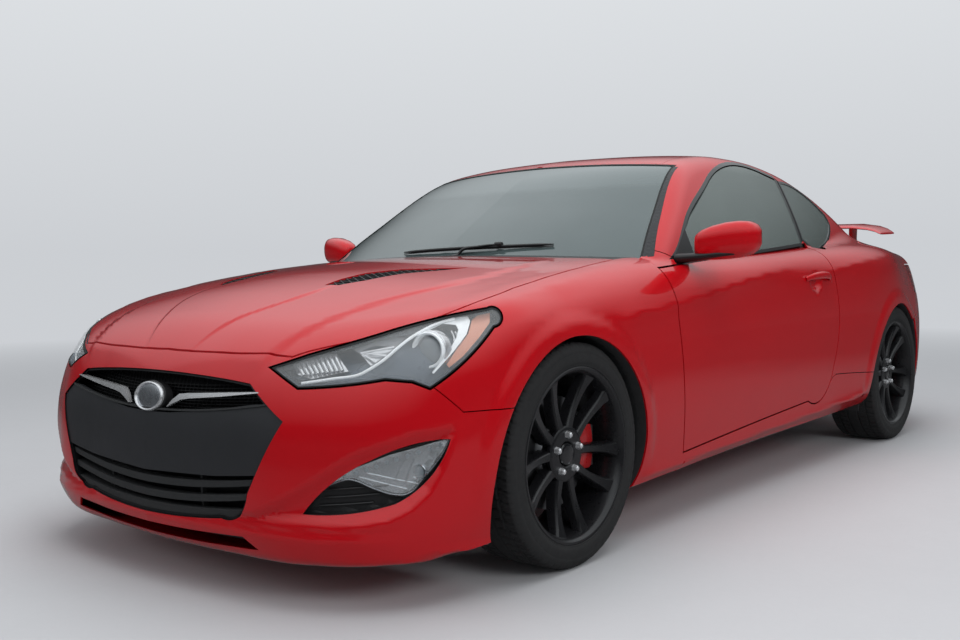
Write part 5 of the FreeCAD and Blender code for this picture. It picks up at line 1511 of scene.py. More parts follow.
def build_vents():
    grid = barrel_grid(lower_field, -1.90, -1.38, 28, 75, 0.006)
    slab = shell_mesh("vent", lower_field, grid, 0.006, 0.003)
    base = carve(slab, [prism(VENT, "z", 0.5, 1.1, 0.004)])
    rows = []
    for k in range(16):
        y = -1.83 + 0.026 * k
        p = [(0.22, y - 0.05), (0.50, y + 0.07)]
        rows.append(prism(ribbon(p, 0.0030), "z", 0.5, 1.1))
        p = [(0.22, y + 0.05), (0.50, y - 0.12)]
        rows.append(prism(ribbon(p, 0.0030), "z", 0.5, 1.1))
    bars = []
    for cutter in rows:
        bar = carve(shell_mesh("bar", lower_field, grid, 0.0025, 0.0035),
                    [cutter, prism(VENT, "z", 0.5, 1.1, 0.001)])
        if len(bar.vertices):
            bars.append(bar)
    mesh = joined([base] + bars)
    place("hood_vents", pair_of(soften(mesh, 30)), "hood", BLACK_TRIM)


# Rear: lamps, wing, plate recess and tail pipes
def tail_shape(grid, outline, depth, thick, grow=0.0, without=()):
    return plate(lower_field, grid, outline, "y", 1.80, 2.50, depth, thick, grow, without)


def tail_point(x, z, depth=0.0):
    """Place on the tail, seen squarely from behind, moved inwards by a depth."""
    y = np.linspace(2.36, 1.70, 500)
    p = np.stack([np.full_like(y, x), y, np.full_like(y, z)], -1)
    at = skin_hit(p)
    return at - gradient(lower_field, at[None])[0] * depth


LAMP_RED_BAND = [(0.650, 0.800), (0.790, 0.778), (0.850, 0.786), (0.850, 0.798), (0.786, 0.860),
                 (0.650, 0.860)]
LAMP_CLEAR_BAND = [(0.650, 0.754), (0.780, 0.722), (0.850, 0.738), (0.850, 0.764), (0.790, 0.764),
                   (0.650, 0.788)]


def build_tail_lamps():
    grid = globe_grid(lower_field, (0, 1.55, 0.60), 14, 96, 2, 34, 0.008, 1)
    hole = prism(TAIL_LAMP, "y", 1.7, 2.6, -0.005)
    wall = tail_shape(grid, TAIL_LAMP, 0.003, 0.040, -0.001, [hole])
    floor = tail_shape(grid, TAIL_LAMP, 0.042, 0.004, -0.001)
    housing = pair_of(soften(joined([wall, floor]), 30))
    place("tail_lamp_housings", housing, "body", LAMP_DARK, ["tail_lamps"], slot="black_plastic")
    red = [tail_shape(grid, LAMP_RED_BAND, 0.026, 0.010)]
    for x, z, r in ((0.694, 0.828, 0.025), (0.756, 0.818, 0.022)):
        at = tail_point(x, z, 0.022)
        turn = aim(gradient(lower_field, at[None])[0])
        red.append(moved(lathe([(-0.008, r - 0.007), (-0.008, r), (0.004, r), (0.008, r - 0.003),
                                (0.006, r - 0.007)], 56), at, turn))
        red.append(moved(lathe([(-0.008, 0.0005), (-0.008, r * 0.5), (0.002, r * 0.5), (0.006, r * 0.3),
                                (0.007, 0.0005)], 40), at, turn))
    place("tail_lamp_red_parts", pair_of(soften(joined(red), 35)), "body", RED_PLASTIC)
    clear = [tail_shape(grid, LAMP_CLEAR_BAND, 0.026, 0.010)]
    for k in range(8):
        x = 0.662 + 0.019 * k
        z = 0.768 - 0.0026 * k
        clear.append(tube([tail_point(x, z - 0.012, 0.023), tail_point(x, z + 0.010, 0.023)], 0.0055, 10))
    place("tail_lamp_reflectors", pair_of(soften(joined(clear), 32)), "body", SATIN_BRIGHT)
    cover = tail_shape(grid, TAIL_LAMP, 0.0008, 0.003, -0.003)
    place("tail_lamp_lenses", pair_of(cover), "body", RED_LENS, field=lower_field)


WING_ROWS = [(0.300, 2.012, 1.088, 2.250, 1.1100, 0.024), (0.450, 2.008, 1.084, 2.250, 1.1090, 0.023),
             (0.540, 2.002, 1.072, 2.247, 1.0950, 0.020), (0.585, 1.994, 1.060, 2.244, 1.0780, 0.018),
             (0.608, 1.986, 1.049, 2.240, 1.0630, 0.017), (0.617, 1.984, 1.045, 2.238, 1.0560, 0.013),
             (0.620, 1.990, 1.044, 2.230, 1.0530, 0.007)]


def lid_solid():
    """Body under the boot lid's skin, for trimming what stands on it."""
    grid = barrel_grid(lower_field, 1.90, 2.24, 40, 140, 0.02)
    return shell_mesh("under", lower_field, grid, 0.002, 0.20)


def build_wing():
    rings = []
    rows = [(-r[0], *r[1:]) for r in reversed(WING_ROWS)] + [(0.0, *WING_ROWS[0][1:])] + WING_ROWS
    t = np.linspace(0, 1, 17)
    for x, y0, z0, y1, z1, thick in rows:
        rise = np.sqrt(np.clip(1 - (2 * t ** 0.75 - 1) ** 2, 0, 1))
        upper = [(y0 + (y1 - y0) * a, z0 + (z1 - z0) * a + thick * 0.55 * b) for a, b in zip(t, rise)]
        lower = [(y0 + (y1 - y0) * a, z0 + (z1 - z0) * a - thick * 0.40 * b - 0.003 * a) for a,
                 b in zip(t, rise)]
        rings.append([(x, y, z) for y, z in upper + lower[:0:-1]])
    blade = rings_mesh(rings)
    feet = []
    for x in (-0.414, 0.0, 0.414):
        side = []
        for z, y0, y1, half in ((0.900, 2.060, 2.215, 0.020), (0.975, 2.076, 2.200, 0.0145),
                                (1.030, 2.083, 2.194, 0.0120), (1.080, 2.084, 2.200, 0.0120),
                                (1.098, 2.080, 2.210, 0.0145)):
            a = turn_steps(28)
            fore = np.sign(np.cos(a)) * np.abs(np.cos(a)) ** 0.8
            ring = [x + half * np.sin(a), (y0 + y1) / 2 + (y1 - y0) / 2 * fore, np.full(28, z)]
            side.append(np.stack(ring, -1))
        feet.append(carve(rings_mesh(side), [], [lid_solid()]))
    place("rear_wing", soften(joined([blade] + feet), 40), "boot_lid", PAINT, ["rear_spoiler"])


def build_rear_fittings():
    x = PLATE_HALF
    z0, z1 = PLATE_Z
    hole = [(-0.02, 0.0004), (-0.02, 0.0032), (0.02, 0.0032), (0.02, 0.0004)]
    holes = [moved(lathe(hole, 20), (sx * 0.089, 2.292, 0.590 + sz * 0.0605), aim((0, 1, 0)))
             for sx in (-1, 1) for sz in (-1, 1)]
    seat = carve(block(-x, x, 2.287, 2.2955, z0, z1), [], holes)
    grid = globe_grid(lower_field, (0, 1.55, 0.59), -14, 14, -10, 10, 0.012, 1)
    box_line = [(-x, z0), (x, z0), (x, z1), (-x, z1)]
    frame_line = carve(shell_mesh("frame", lower_field, grid, 0.001, 0.030),
                       [prism(box_line, "y", 2.287, 2.5, 0.006)], [prism(box_line, "y", 2.2, 2.6, 0.0)])
    place("plate_recess", soften(joined([seat, frame_line]), 30), "body", GRAINED)
    grid = globe_grid(lower_field, (0, 1.55, 0.55), -50, 50, -40, -8, 0.012, 1)
    low = [(-0.66, 0.03), (0.66, 0.03), (0.70, 0.345), (0.47, 0.352), (0.38, 0.300), (-0.38, 0.300),
           (-0.47, 0.352), (-0.70, 0.345)]
    pipes = [prism([(x + 0.060 * math.cos(a), PIPE_AT[1] + 0.056 * math.sin(a)) for a in turn_steps(48)],
                   "y", 1.8, 2.6) for x in (-PIPE_AT[0], PIPE_AT[0])]
    lip = carve(tail_shape(grid, low, -0.0015, 0.008), [], pipes)
    fins = []
    for x in (-0.27, -0.09, 0.09, 0.27):
        side = [(x - 0.005, 0.19), (x + 0.005, 0.19), (x + 0.005, 0.290), (x - 0.005, 0.290)]
        fins.append(tail_shape(grid, side, -0.005, 0.012))
    place("rear_diffuser", soften(joined([lip] + fins), 30), "body", GRAINED)


def bend(points, radius, n=16, step=0.02):
    """Round pipe along a smooth path."""
    length = np.linalg.norm(np.diff(np.array(points), axis=0), axis=1).sum()
    return tube(smooth_path(points, max(8, int(length / step))), radius, n)


def build_arch_lips():
    """Turned-in edge of each wheel arch, between the skin and the liner."""
    lips = []
    for y, z, radius in ((FRONT_AXLE_Y, FRONT_ARCH_Z, FRONT_ARCH_R), (REAR_AXLE_Y, REAR_ARCH_Z, REAR_ARCH_R)):
        grid = barrel_grid(lower_field, y - 0.42, y + 0.42, -34, 40, 0.012)
        slab = shell_mesh("lip", lower_field, grid, SKIN * 0.7, 0.075)
        lips.append(carve(slab, [drum(radius + 0.009, 0.4, 1.1, y, z)],
                          [drum(radius + 0.0003, 0.3, 1.2, y, z), block(0, 1.2, -3, 3, 0, 0.165)]))
    place("arch_lips", pair_of(soften(joined(lips), 30)), "body", UNDERCOAT)


def build_exhaust():
    z = 0.262
    parts = [bend([(-0.09, -0.48, z), (-0.09, 0.40, z), (-0.09, 1.10, z), (-0.14, 1.19, z), (-0.20, 1.235, z),
                   (-0.215, 1.32, z), (-0.215, 1.84, z)], 0.026, 20)]
    for y, x in ((-0.20, -0.09), (0.62, -0.09), (1.55, -0.215)):
        parts.append(moved(lathe([(-0.022, 0.024), (-0.022, 0.029), (0.022, 0.029), (0.022, 0.024)], 32),
                           (x, y, z), aim((0, 1, 0))))
    rings = []
    for y, k in ((1.800, 0.90), (1.812, 0.97), (1.840, 1.0), (1.900, 1.0), (1.904, 1.012), (1.910, 1.0),
                 (1.975, 1.0), (1.979, 1.012), (1.985, 1.0), (2.045, 1.0), (2.068, 0.97), (2.080, 0.90)):
        a = turn_steps(72)
        r = squircle(a, 3.4)
        ring = [0.412 * k * r * np.cos(a), np.full(72, y), 0.301 + 0.058 * k * r * np.sin(a)]
        rings.append(np.stack(ring, -1))
    parts.append(rings_mesh(rings))
    for side in (-1, 1):
        x = side * PIPE_AT[0]
        parts.append(bend([(side * 0.39, 2.01, 0.285), (side * 0.47, 2.015, 0.285),
                           (side * 0.54, 2.03, 0.285), (x, 2.07, 0.285), (x, 2.14, 0.285)], 0.027, 20))
        parts.append(tube([(side * 0.30, 1.93, 0.345), (side * 0.30, 1.93, 0.372),
                           (side * 0.33, 1.93, 0.385)], 0.006, 10))
    place("exhaust_run", soften(joined(parts), 40), "body", EXHAUST, ["exhaust"])
    tips = []
    for side in (-1, 1):
        tip = lathe([(-0.150, 0.0290), (-0.130, 0.0400), (0.020, 0.0410), (0.028, 0.0418), (0.031, 0.0405),
                     (0.028, 0.0375), (-0.120, 0.0365), (-0.145, 0.0275)], 72)
        tips.append(moved(tip, (side * PIPE_AT[0], 2.262, PIPE_AT[1]), aim((0, 1, 0))))
    place("tail_pipe_tips", soften(joined(tips), 40), "body", CHROME)


def build_boot_trim():
    grid = globe_grid(lower_field, (0, 1.55, 0.60), -50, 50, 0, 34, 0.012, 1)
    line = tail_shape(grid, [(-0.30, 0.752), (0.30, 0.752), (0.29, 0.764), (-0.29, 0.764)], -0.004, 0.010)
    place("boot_lid_grip", soften(line, 30), "boot_lid", GLOSS_BLACK)
    lamps = []
    for x in (-0.12, 0.12):
        lamps.append(tail_shape(grid, [(x - 0.022, 0.7535), (x + 0.022, 0.7535), (x + 0.022, 0.7605),
                                       (x - 0.022, 0.7605)], -0.0055, 0.006))
    place("plate_lights", soften(joined(lamps), 30), "boot_lid", PROJECTOR_GLASS)
    under = barrel_grid(lower_field, 1.50, 2.20, 40, 140, 0.02)
    lining = carve(shell_mesh("lining", lower_field, under, 0.014, 0.004),
                   [prism([(x * 0.93, 1.60 + (y - 1.60) * 0.98) for x,
                           y in [(-0.6, 1.62), (0.6, 1.62), (0.6, 2.16), (-0.6, 2.16)]], "z", 0.8, 1.2)])
    place("boot_lid_lining", soften(lining, 30), "boot_lid", CARPET)
    grid = barrel_grid(lower_field, -2.10, -1.12, 40, 140, 0.02)
    inner = [(-0.60, -1.16), (0.60, -1.16), (0.64, -1.60), (0.56, -1.95), (0.30, -2.05), (-0.30, -2.05),
             (-0.56, -1.95), (-0.64, -1.60)]
    cells = [prism([(x - w, y0), (x + w, y0), (x + w * 0.8, y1), (x - w * 0.8, y1)], "z", 0.5, 1.1) for x, w,
             y0, y1 in ((-0.40, 0.11, -1.22, -1.50), (0.0, 0.18, -1.22, -1.55), (0.40, 0.11, -1.22, -1.50),
                        (-0.20, 0.12, -1.66, -1.95), (0.20, 0.12, -1.66, -1.95))]
    liner = carve(shell_mesh("liner", lower_field, grid, 0.0075, 0.010), [prism(inner, "z", 0.5, 1.1)], cells)
    place("hood_inner_frame", soften(liner, 30), "hood", UNDERCOAT)


# Cabin: lining, seats, dashboard, console and steering wheel
def build_lining():
    grid = barrel_grid(greenhouse_field, -1.05, 1.55, 4, 176, 0.02, 0.70)
    slab = shell_mesh("lining", greenhouse_field, grid, 0.016, 0.004)
    remove = [prism(WINDSCREEN, "y", -1.5, -0.2, -0.010), prism(BACKLIGHT, "z", 0.80, 1.5, -0.012),
              block(-1, 1, -1.2, 1.8, 0.3, 0.93)]
    remove += [prism(DOOR_WINDOW, "x", -1.1, 1.1, 0.008), prism(QUARTER_GLASS, "x", -1.1, 1.1, 0.002)]
    place("cabin_lining", soften(carve(slab, [], remove), 40), "body", HEADLINER)
    low = barrel_grid(lower_field, 0.54, 1.20, -10, 55, 0.02)
    quarter = carve(shell_mesh("quarter", lower_field, low, 0.060, 0.006),
                    [prism([(0.60, 0.28), (1.16, 0.28), (1.16, 0.985), (0.60, 0.955)], "x", *LEFT_CUT)])
    place("quarter_linings", pair_of(soften(quarter, 40)), "body", GRAINED)
    shelf = [(-0.54, 1.165), (0, 1.150, 0.54, 1.165), (0.47, 1.56), (-0.47, 1.56)]
    slab = block(-0.6, 0.6, 1.0, 1.7, 0.905, 0.917)
    holes = [moved(lathe([(-0.02, 0.0004), (-0.02, 0.0030), (0.02, 0.0030), (0.02, 0.0004)], 12),
                   (x + dx * 0.012, 1.36 + dy * 0.012, 0.911), aim((0, 0, 1), (0, 1, 0)))
             for x in (-0.33, 0.33) for dx in range(-3, 4) for dy in range(-3, 4)]
    place("parcel_shelf", soften(carve(slab, [prism(shelf, "z", 0.8, 1.0)], holes), 30), "body", CARPET)


def build_door_linings():
    grid = barrel_grid(lower_field, -0.85, 0.56, -28, 38, 0.016)
    card = [(-0.770, 0.300), (0.440, 0.345), (0.500, 0.600), (0.490, 0.935), (-0.800, 0.850)]
    base = plate(lower_field, grid, card, "x", 0.6, 1.1, 0.086, 0.006)
    pad = plate(lower_field, grid, [(-0.62, 0.640), (0.40, 0.675), (0.43, 0.800, 0.40, 0.880),
                                    (-0.66, 0.815)], "x", 0.6, 1.1, 0.091, 0.008)
    bin_ = plate(lower_field, grid, [(-0.68, 0.330), (0.15, 0.350), (0.10, 0.430), (-0.68, 0.420)], "x", 0.6,
                 1.1, 0.091, 0.030)
    rest = []
    for y, z, w, h in ((-0.40, 0.640, 0.010, 0.012), (-0.36, 0.655, 0.026, 0.020),
                       (-0.10, 0.665, 0.032, 0.024), (0.22, 0.675, 0.030, 0.022), (0.30, 0.672, 0.020, 0.016),
                       (0.34, 0.668, 0.008, 0.010)):
        x = side_point(y, z)[0] - 0.100
        a = turn_steps(24)
        rest.append(np.stack([x + w * np.cos(a), np.full(24, y), z + h * np.sin(a)], -1))
    at = side_point(-0.52, 0.48)
    speaker = moved(lathe([(-0.006, 0.0005), (-0.006, 0.082), (0.004, 0.082), (0.008, 0.074), (0.004, 0.068),
                           (0.006, 0.0005)], 56), (at[0] - 0.094, at[1], at[2]), aim((-1, 0, 0)))
    hard = soften(joined([base, bin_, speaker]), 30)
    soft = soften(joined([pad, rings_mesh(rest)]), 50)
    pull = [(-0.36, 0.735), (-0.33, 0.752), (-0.26, 0.757), (-0.22, 0.742)]
    pull = bend([(side_point(y, z)[0] - 0.100 - d, y, z) for (y, z),
                 d in zip(pull, (0.0, 0.014, 0.014, 0.0))], 0.007, 12, 0.01)
    on_doors("door_card", hard, GRAINED)
    on_doors("door_pad", soft, LEATHER)
    on_doors("door_pull", soften(pull, 50), SATIN)


def pillow(x, half, path, thick, power=2.6, ends=0.5, n=44, rows=16):
    """Closed crowned form along a path in the side plane, with rounded ends."""
    line = smooth_path(path, rows)
    d = np.gradient(line, axis=0)
    d /= np.linalg.norm(d, axis=1, keepdims=True)
    s = np.linspace(-1, 1, rows)
    taper = (1 - np.abs(s) ** 7) ** ends
    taper = np.maximum(taper, 0.12)
    a = turn_steps(n)
    r = squircle(a, power)
    rings = []
    for (y, z), (dy, dz), k in zip(line, d, taper):
        w = half * (0.55 + 0.45 * k)
        t = thick * k
        ring = [x + w * r * np.cos(a), y - dz * t * r * np.sin(a), z + dy * t * r * np.sin(a)]
        rings.append(np.stack(ring, -1))
    return rings_mesh(rings)


def puffed(mesh, voxel, cap, pressure=4.0):
    """Sewn cover blown up over its filling, as closed fabric under pressure."""
    obj = new_object("pad", mesh)
    mod = obj.modifiers.new("even", "REMESH")
    mod.mode = "VOXEL"
    mod.voxel_size = voxel
    even = applied(obj)
    bpy.data.objects.remove(obj)
    obj = new_object("pad", even)
    start = read(even)
    cloth = obj.modifiers.new("cloth", "CLOTH")
    settings = {"quality": 5, "mass": 0.3, "use_pressure": True, "uniform_pressure_force": pressure,
                "tension_stiffness": 12.0, "compression_stiffness": 12.0, "bending_stiffness": 0.4}
    for name, value in settings.items():
        setattr(cloth.settings, name, value)
    cloth.settings.effector_weights.gravity = 0.0
    scene = bpy.context.scene
    for f in range(1, 21):
        scene.frame_set(f)
    graph = bpy.context.evaluated_depsgraph_get()
    blown = bpy.data.meshes.new_from_object(obj.evaluated_get(graph), depsgraph=graph)
    move = read(blown) - start
    far = np.linalg.norm(move, axis=1, keepdims=True)
    move *= np.minimum(1.0, cap / np.maximum(far, 1e-9))
    blown.vertices.foreach_set("co", (start + move).ravel())
    bpy.data.objects.remove(obj)
    scene.frame_set(1)
    return blown


def thinned(mesh, share):
    """The same form in a share of its facets."""
    obj = new_object("thinned", mesh)
    mod = obj.modifiers.new("thin", "DECIMATE")
    mod.ratio = share
    thin = applied(obj)
    bpy.data.objects.remove(obj)
    return thin


def channel(mesh, lines, width, depth):
    """Sewn channels: points near a line in (x, along) sink towards the inside."""
    co = read(mesh)
    no = read(mesh, "normal")
    sink = np.zeros(len(co))
    for test in lines:
        sink = np.maximum(sink, np.exp(-(test(co) / width) ** 2))
    co -= no * (sink * depth)[:, None]
    mesh.vertices.foreach_set("co", co.ravel())
    return mesh


CUSHION_LINE = [(-0.160, 0.395), (0.000, 0.402), (0.180, 0.380)]
BACK_LINE = [(0.245, 0.440), (0.300, 0.660), (0.378, 0.930)]


def build_front_seats():
    mid = 0.3825
    pads = [pillow(mid, 0.142, CUSHION_LINE, 0.036), pillow(mid, 0.138, BACK_LINE, 0.040)]
    for side in (-1, 1):
        pads.append(pillow(mid + side * 0.176, 0.032, [(-0.155, 0.398), (0.0, 0.408), (0.170, 0.392)], 0.040,
                           2.2))
        pads.append(pillow(mid + side * 0.168, 0.034, [(0.245, 0.455), (0.290, 0.640), (0.350, 0.850)], 0.052,
                           2.2))
    pads.append(pillow(mid, 0.070, [(0.408, 0.975), (0.412, 1.035), (0.424, 1.105)], 0.026, 2.8, rows=14))
    soft = puffed(joined(pads), 0.008, 0.012)
    rows = [lambda p, c=c: np.where((np.abs(p[:, 0] - mid) < 0.145) & (p[:, 2] < 0.46) & (p[:, 1] < 0.19),
                                    p[:, 1] - c, 1.0) for c in (-0.07, 0.01, 0.09)]
    rows += [lambda p, c=c: np.where((np.abs(p[:, 0] - mid) < 0.140) & (p[:, 2] > 0.47) & (p[:, 2] < 0.94),
                                     p[:, 2] - c, 1.0) for c in (0.54, 0.62, 0.70, 0.78)]
    soft = channel(soft, rows, 0.006, 0.005)
    soft = soften(thinned(soft, 0.5), 70)
    seats = place("front_seat_covers", pair_of(soft), "body", LEATHER, ["front_seats"])
    piping = []
    for side in (-1, 1):
        x = mid + side * 0.1475
        piping.append(bend([(x, -0.150, 0.436), (x, 0.0, 0.446), (x, 0.175, 0.425)], 0.0028, 8, 0.02))
        piping.append(bend([(x, 0.222, 0.470), (x, 0.262, 0.640), (x, 0.325, 0.860)], 0.0028, 8, 0.02))
    place("seat_piping", pair_of(soften(joined(piping), 60)), "body", SEAM)
    hard = []
    a = turn_steps(56)
    r = squircle(a, 5)
    rings = []
    for z, hx, y0, y1 in ((0.232, 0.200, -0.165, 0.300), (0.250, 0.206, -0.172, 0.305),
                          (0.330, 0.208, -0.180, 0.318), (0.352, 0.200, -0.172, 0.312)):
        rings.append(np.stack([mid + hx * r * np.cos(a), (y0 + y1) / 2 + (y1 - y0) / 2 * r * np.sin(a),
                               np.full(56, z)], -1))
    hard.append(rings_mesh(rings))
    hard.append(pillow(mid, 0.190, [(0.318, 0.380), (0.375, 0.620), (0.432, 0.900)], 0.026, 4.0))
    hard.append(pillow(mid, 0.120, [(0.420, 0.890), (0.428, 0.930), (0.436, 0.965)], 0.020, 3.0, rows=10))
    place("seat_shells", pair_of(soften(joined(hard), 50)), "body", GRAINED)
    metal = []
    for side in (-1, 1):
        metal.append(tube([(mid + side * 0.045, 0.425, 0.945), (mid + side * 0.045, 0.418, 1.010)], 0.006,
                          14))
        metal.append(tube([(mid + side * 0.170, -0.18, 0.228), (mid + side * 0.170, 0.28, 0.228)], 0.010, 8,
                          0.6))
    place("seat_metal", pair_of(soften(joined(metal), 50)), "body", SATIN)


def build_rear_seat():
    pads = []
    for x in (-0.315, 0.315):
        pads.append(pillow(x, 0.245, [(0.610, 0.425), (0.760, 0.422), (0.925, 0.395)], 0.036, 3.0))
        pads.append(pillow(x, 0.240, [(0.985, 0.480), (1.030, 0.640), (1.088, 0.850)], 0.036, 3.0))
    pads.append(pillow(0, 0.045, [(0.625, 0.420), (0.760, 0.418), (0.915, 0.395)], 0.030, 2.6))
    pads.append(pillow(0, 0.045, [(0.990, 0.480), (1.032, 0.640), (1.085, 0.845)], 0.030, 2.6))
    soft = puffed(joined(pads), 0.009, 0.012)
    rows = [lambda p, c=c: np.where((np.abs(np.abs(p[:, 0]) - 0.315) < 0.20) & (p[:, 2] < 0.47), p[:, 1] - c,
                                    1.0) for c in (0.70, 0.80)]
    rows += [lambda p, c=c: np.where((np.abs(np.abs(p[:, 0]) - 0.315) < 0.20) & (p[:, 2] > 0.49), p[:, 2] - c,
                                     1.0) for c in (0.58, 0.68, 0.78)]
    soft = soften(thinned(channel(soft, rows, 0.006, 0.005), 0.5), 70)
    seat = place("rear_seat_covers", soft, "body", LEATHER, ["rear_seat"])
    base = [(0.575, 0.232), (0.575, 0.415), (0.940, 0.390), (1.000, 0.480), (1.100, 0.868), (1.150, 0.872),
            (1.150, 0.232)]
    place("rear_seat_base", soften(prism(base, "x", -0.600, 0.600), 30), "body", CARPET, slot="seat_trim")


def dash_rows():
    """Dashboard outline in the side plane by distance from the middle, with the hood over the dials."""
    rows = []
    for x in np.linspace(-0.722, 0.722, 49):
        cowl = math.exp(-((x - 0.37) / 0.150) ** 4) * 0.028
        edge = max(0.0, (abs(x) - 0.66) / 0.07) ** 2
        pull = 0.030 * edge
        middle = 0.020 * math.exp(-(x / 0.16) ** 4)
        top = [(-1.005, 0.850), (-0.985, 0.945), (-0.930, 0.962), (-0.860, 0.915 + cowl * 0.5),
               (-0.760, 0.934 + cowl - pull), (-0.690, 0.930 + cowl - pull),
               (-0.640, 0.905 + cowl * 0.8 - pull), (-0.628, 0.880 + cowl * 0.4 - pull), (-0.636, 0.850),
               (-0.628 + middle * 0.6, 0.815), (-0.606 + middle, 0.772), (-0.604 + middle, 0.740),
               (-0.634, 0.690), (-0.690, 0.615), (-0.800, 0.610), (-0.990, 0.620)]
        rows.append((x, top))
    return rows


def build_dashboard():
    rings = []
    for x, points in dash_rows():
        p = np.array(points + [points[0]])
        t = np.concatenate([[0], np.cumsum(np.linalg.norm(np.diff(p, axis=0), axis=1))])
        at = np.linspace(0, t[-1], 72, endpoint=False)
        y = curve(t, p[:, 0])(at)
        z = np.minimum(curve(t, p[:, 1])(at), roof_height(np.full(72, abs(x)), y) - 0.030)
        rings.append(np.stack([np.full(72, x), y, z], -1))
    dash = soften(rings_mesh(rings), 50)
    console = []
    a = turn_steps(48)
    r = squircle(a, 4)
    for y, hw, z1 in ((-0.715, 0.108, 0.640), (-0.640, 0.108, 0.640), (-0.560, 0.106, 0.575),
                      (-0.420, 0.105, 0.552), (-0.250, 0.104, 0.545), (-0.200, 0.102, 0.556),
                      (0.050, 0.098, 0.558), (0.105, 0.094, 0.550), (0.118, 0.088, 0.540)):
        z0 = 0.405
        console.append(np.stack([hw * r * np.cos(a), np.full(48, y),
                                 (z0 + z1) / 2 + (z1 - z0) / 2 * r * np.sin(a)], -1))
    console = soften(rings_mesh(console), 50)
    place("dashboard_shell", soften(joined([dash, console]), 50), "body", GRAINED, ["dashboard"])
    trim = []
    for x, w in ((-0.545, 0.10), (-0.085, 0.075), (0.085, 0.075), (0.600, 0.075)):
        for k in range(5):
            z = 0.776 + 0.0085 * k
            trim.append(tube([(x - w / 2, -0.600 - 0.012 * k * 0.5, z),
                              (x + w / 2, -0.600 - 0.012 * k * 0.5, z)], 0.0022, 8, 1.6))
        a = np.linspace(0, math.tau, 41)
        loop = [(x + (w / 2 + 0.006) * np.sign(math.cos(t)) * abs(math.cos(t)) ** 0.5,
                 -0.604 - 0.012 * math.sin(t) * 0.8,
                 0.793 + 0.024 * np.sign(math.sin(t)) * abs(math.sin(t)) ** 0.5) for t in a]
        trim.append(tube(loop, 0.0035, 8))
    trim.append(bend([(-0.68, -0.596, 0.748), (-0.30, -0.592, 0.752), (0.0, -0.580, 0.750),
                      (0.30, -0.592, 0.752), (0.68, -0.596, 0.748)], 0.0050, 10, 0.03))
    place("dashboard_trim", soften(joined(trim), 50), "body", SATIN)
    dark = []
    dark.append(block(-0.075, 0.075, -0.604, -0.592, 0.690, 0.742))
    dark.append(moved(block(-0.105, 0.105, -0.006, 0.006, -0.038, 0.038), (0, -0.652, 0.872),
                      Matrix.Rotation(math.radians(-12), 4, "X")))
    dark.append(moved(block(-0.150, 0.150, -0.006, 0.006, -0.040, 0.036), (0.37, -0.668, 0.885),
                      Matrix.Rotation(math.radians(-18), 4, "X")))
    place("dashboard_screens", soften(joined(dark), 30), "body", GLOSS_BLACK)
    rings = []
    for x, rad in ((0.310, 0.034), (0.430, 0.034), (0.370, 0.018)):
        gauge = [(-0.002, rad - 0.003), (-0.002, rad), (0.003, rad), (0.003, rad - 0.003)]
        rings.append(moved(lathe(gauge, 48), (x, -0.659, 0.885), aim((0, 1, 0.32))))
        for k in range(12):
            t = math.radians(-30 + 240 * k / 11)
            c, s = math.cos(t), math.sin(t)
            rings.append(moved(tube([(c * (rad - 0.010), 0, s * (rad - 0.010)),
                                     (c * (rad - 0.004), 0, s * (rad - 0.004))], 0.0008, 6),
                               (x, -0.659, 0.885), Matrix.Rotation(math.radians(-18), 4, "X")))
    knob = [(-0.020, 0.0005), (-0.020, 0.012), (0.010, 0.010), (0.034, 0.017), (0.060, 0.019), (0.072, 0.012),
            (0.075, 0.0005)]
    rings.append(moved(lathe(knob, 36), (0.0, -0.480, 0.590), aim((0, 0.12, 1), (0, 1, 0))))
    for x in (-0.045, 0.0, 0.045):
        rings.append(moved(lathe([(-0.004, 0.0005), (-0.004, 0.012), (0.010, 0.011), (0.012, 0.0005)], 28),
                           (x, -0.594, 0.715), aim((0, 1, 0))))
    place("dials_and_knobs", soften(joined(rings), 50), "body", SATIN)
    arm = pillow(0.0, 0.074, [(-0.170, 0.572), (-0.060, 0.578), (0.090, 0.572)], 0.018, 3.0, rows=20)
    a = turn_steps(48)
    gaiter = ((0.545, 0.048), (0.556, 0.046), (0.566, 0.034), (0.574, 0.036), (0.582, 0.022), (0.590, 0.022),
              (0.600, 0.012))
    boot = [np.stack([w * np.cos(a), -0.480 + w * 0.9 * np.sin(a), np.full(48, z)], -1) for z, w in gaiter]
    place("console_leather", soften(joined([arm, rings_mesh(boot)]), 60), "body", LEATHER)


WHEEL_AT = (0.370, -0.450, 0.800)
WHEEL_RAKE = math.radians(25)


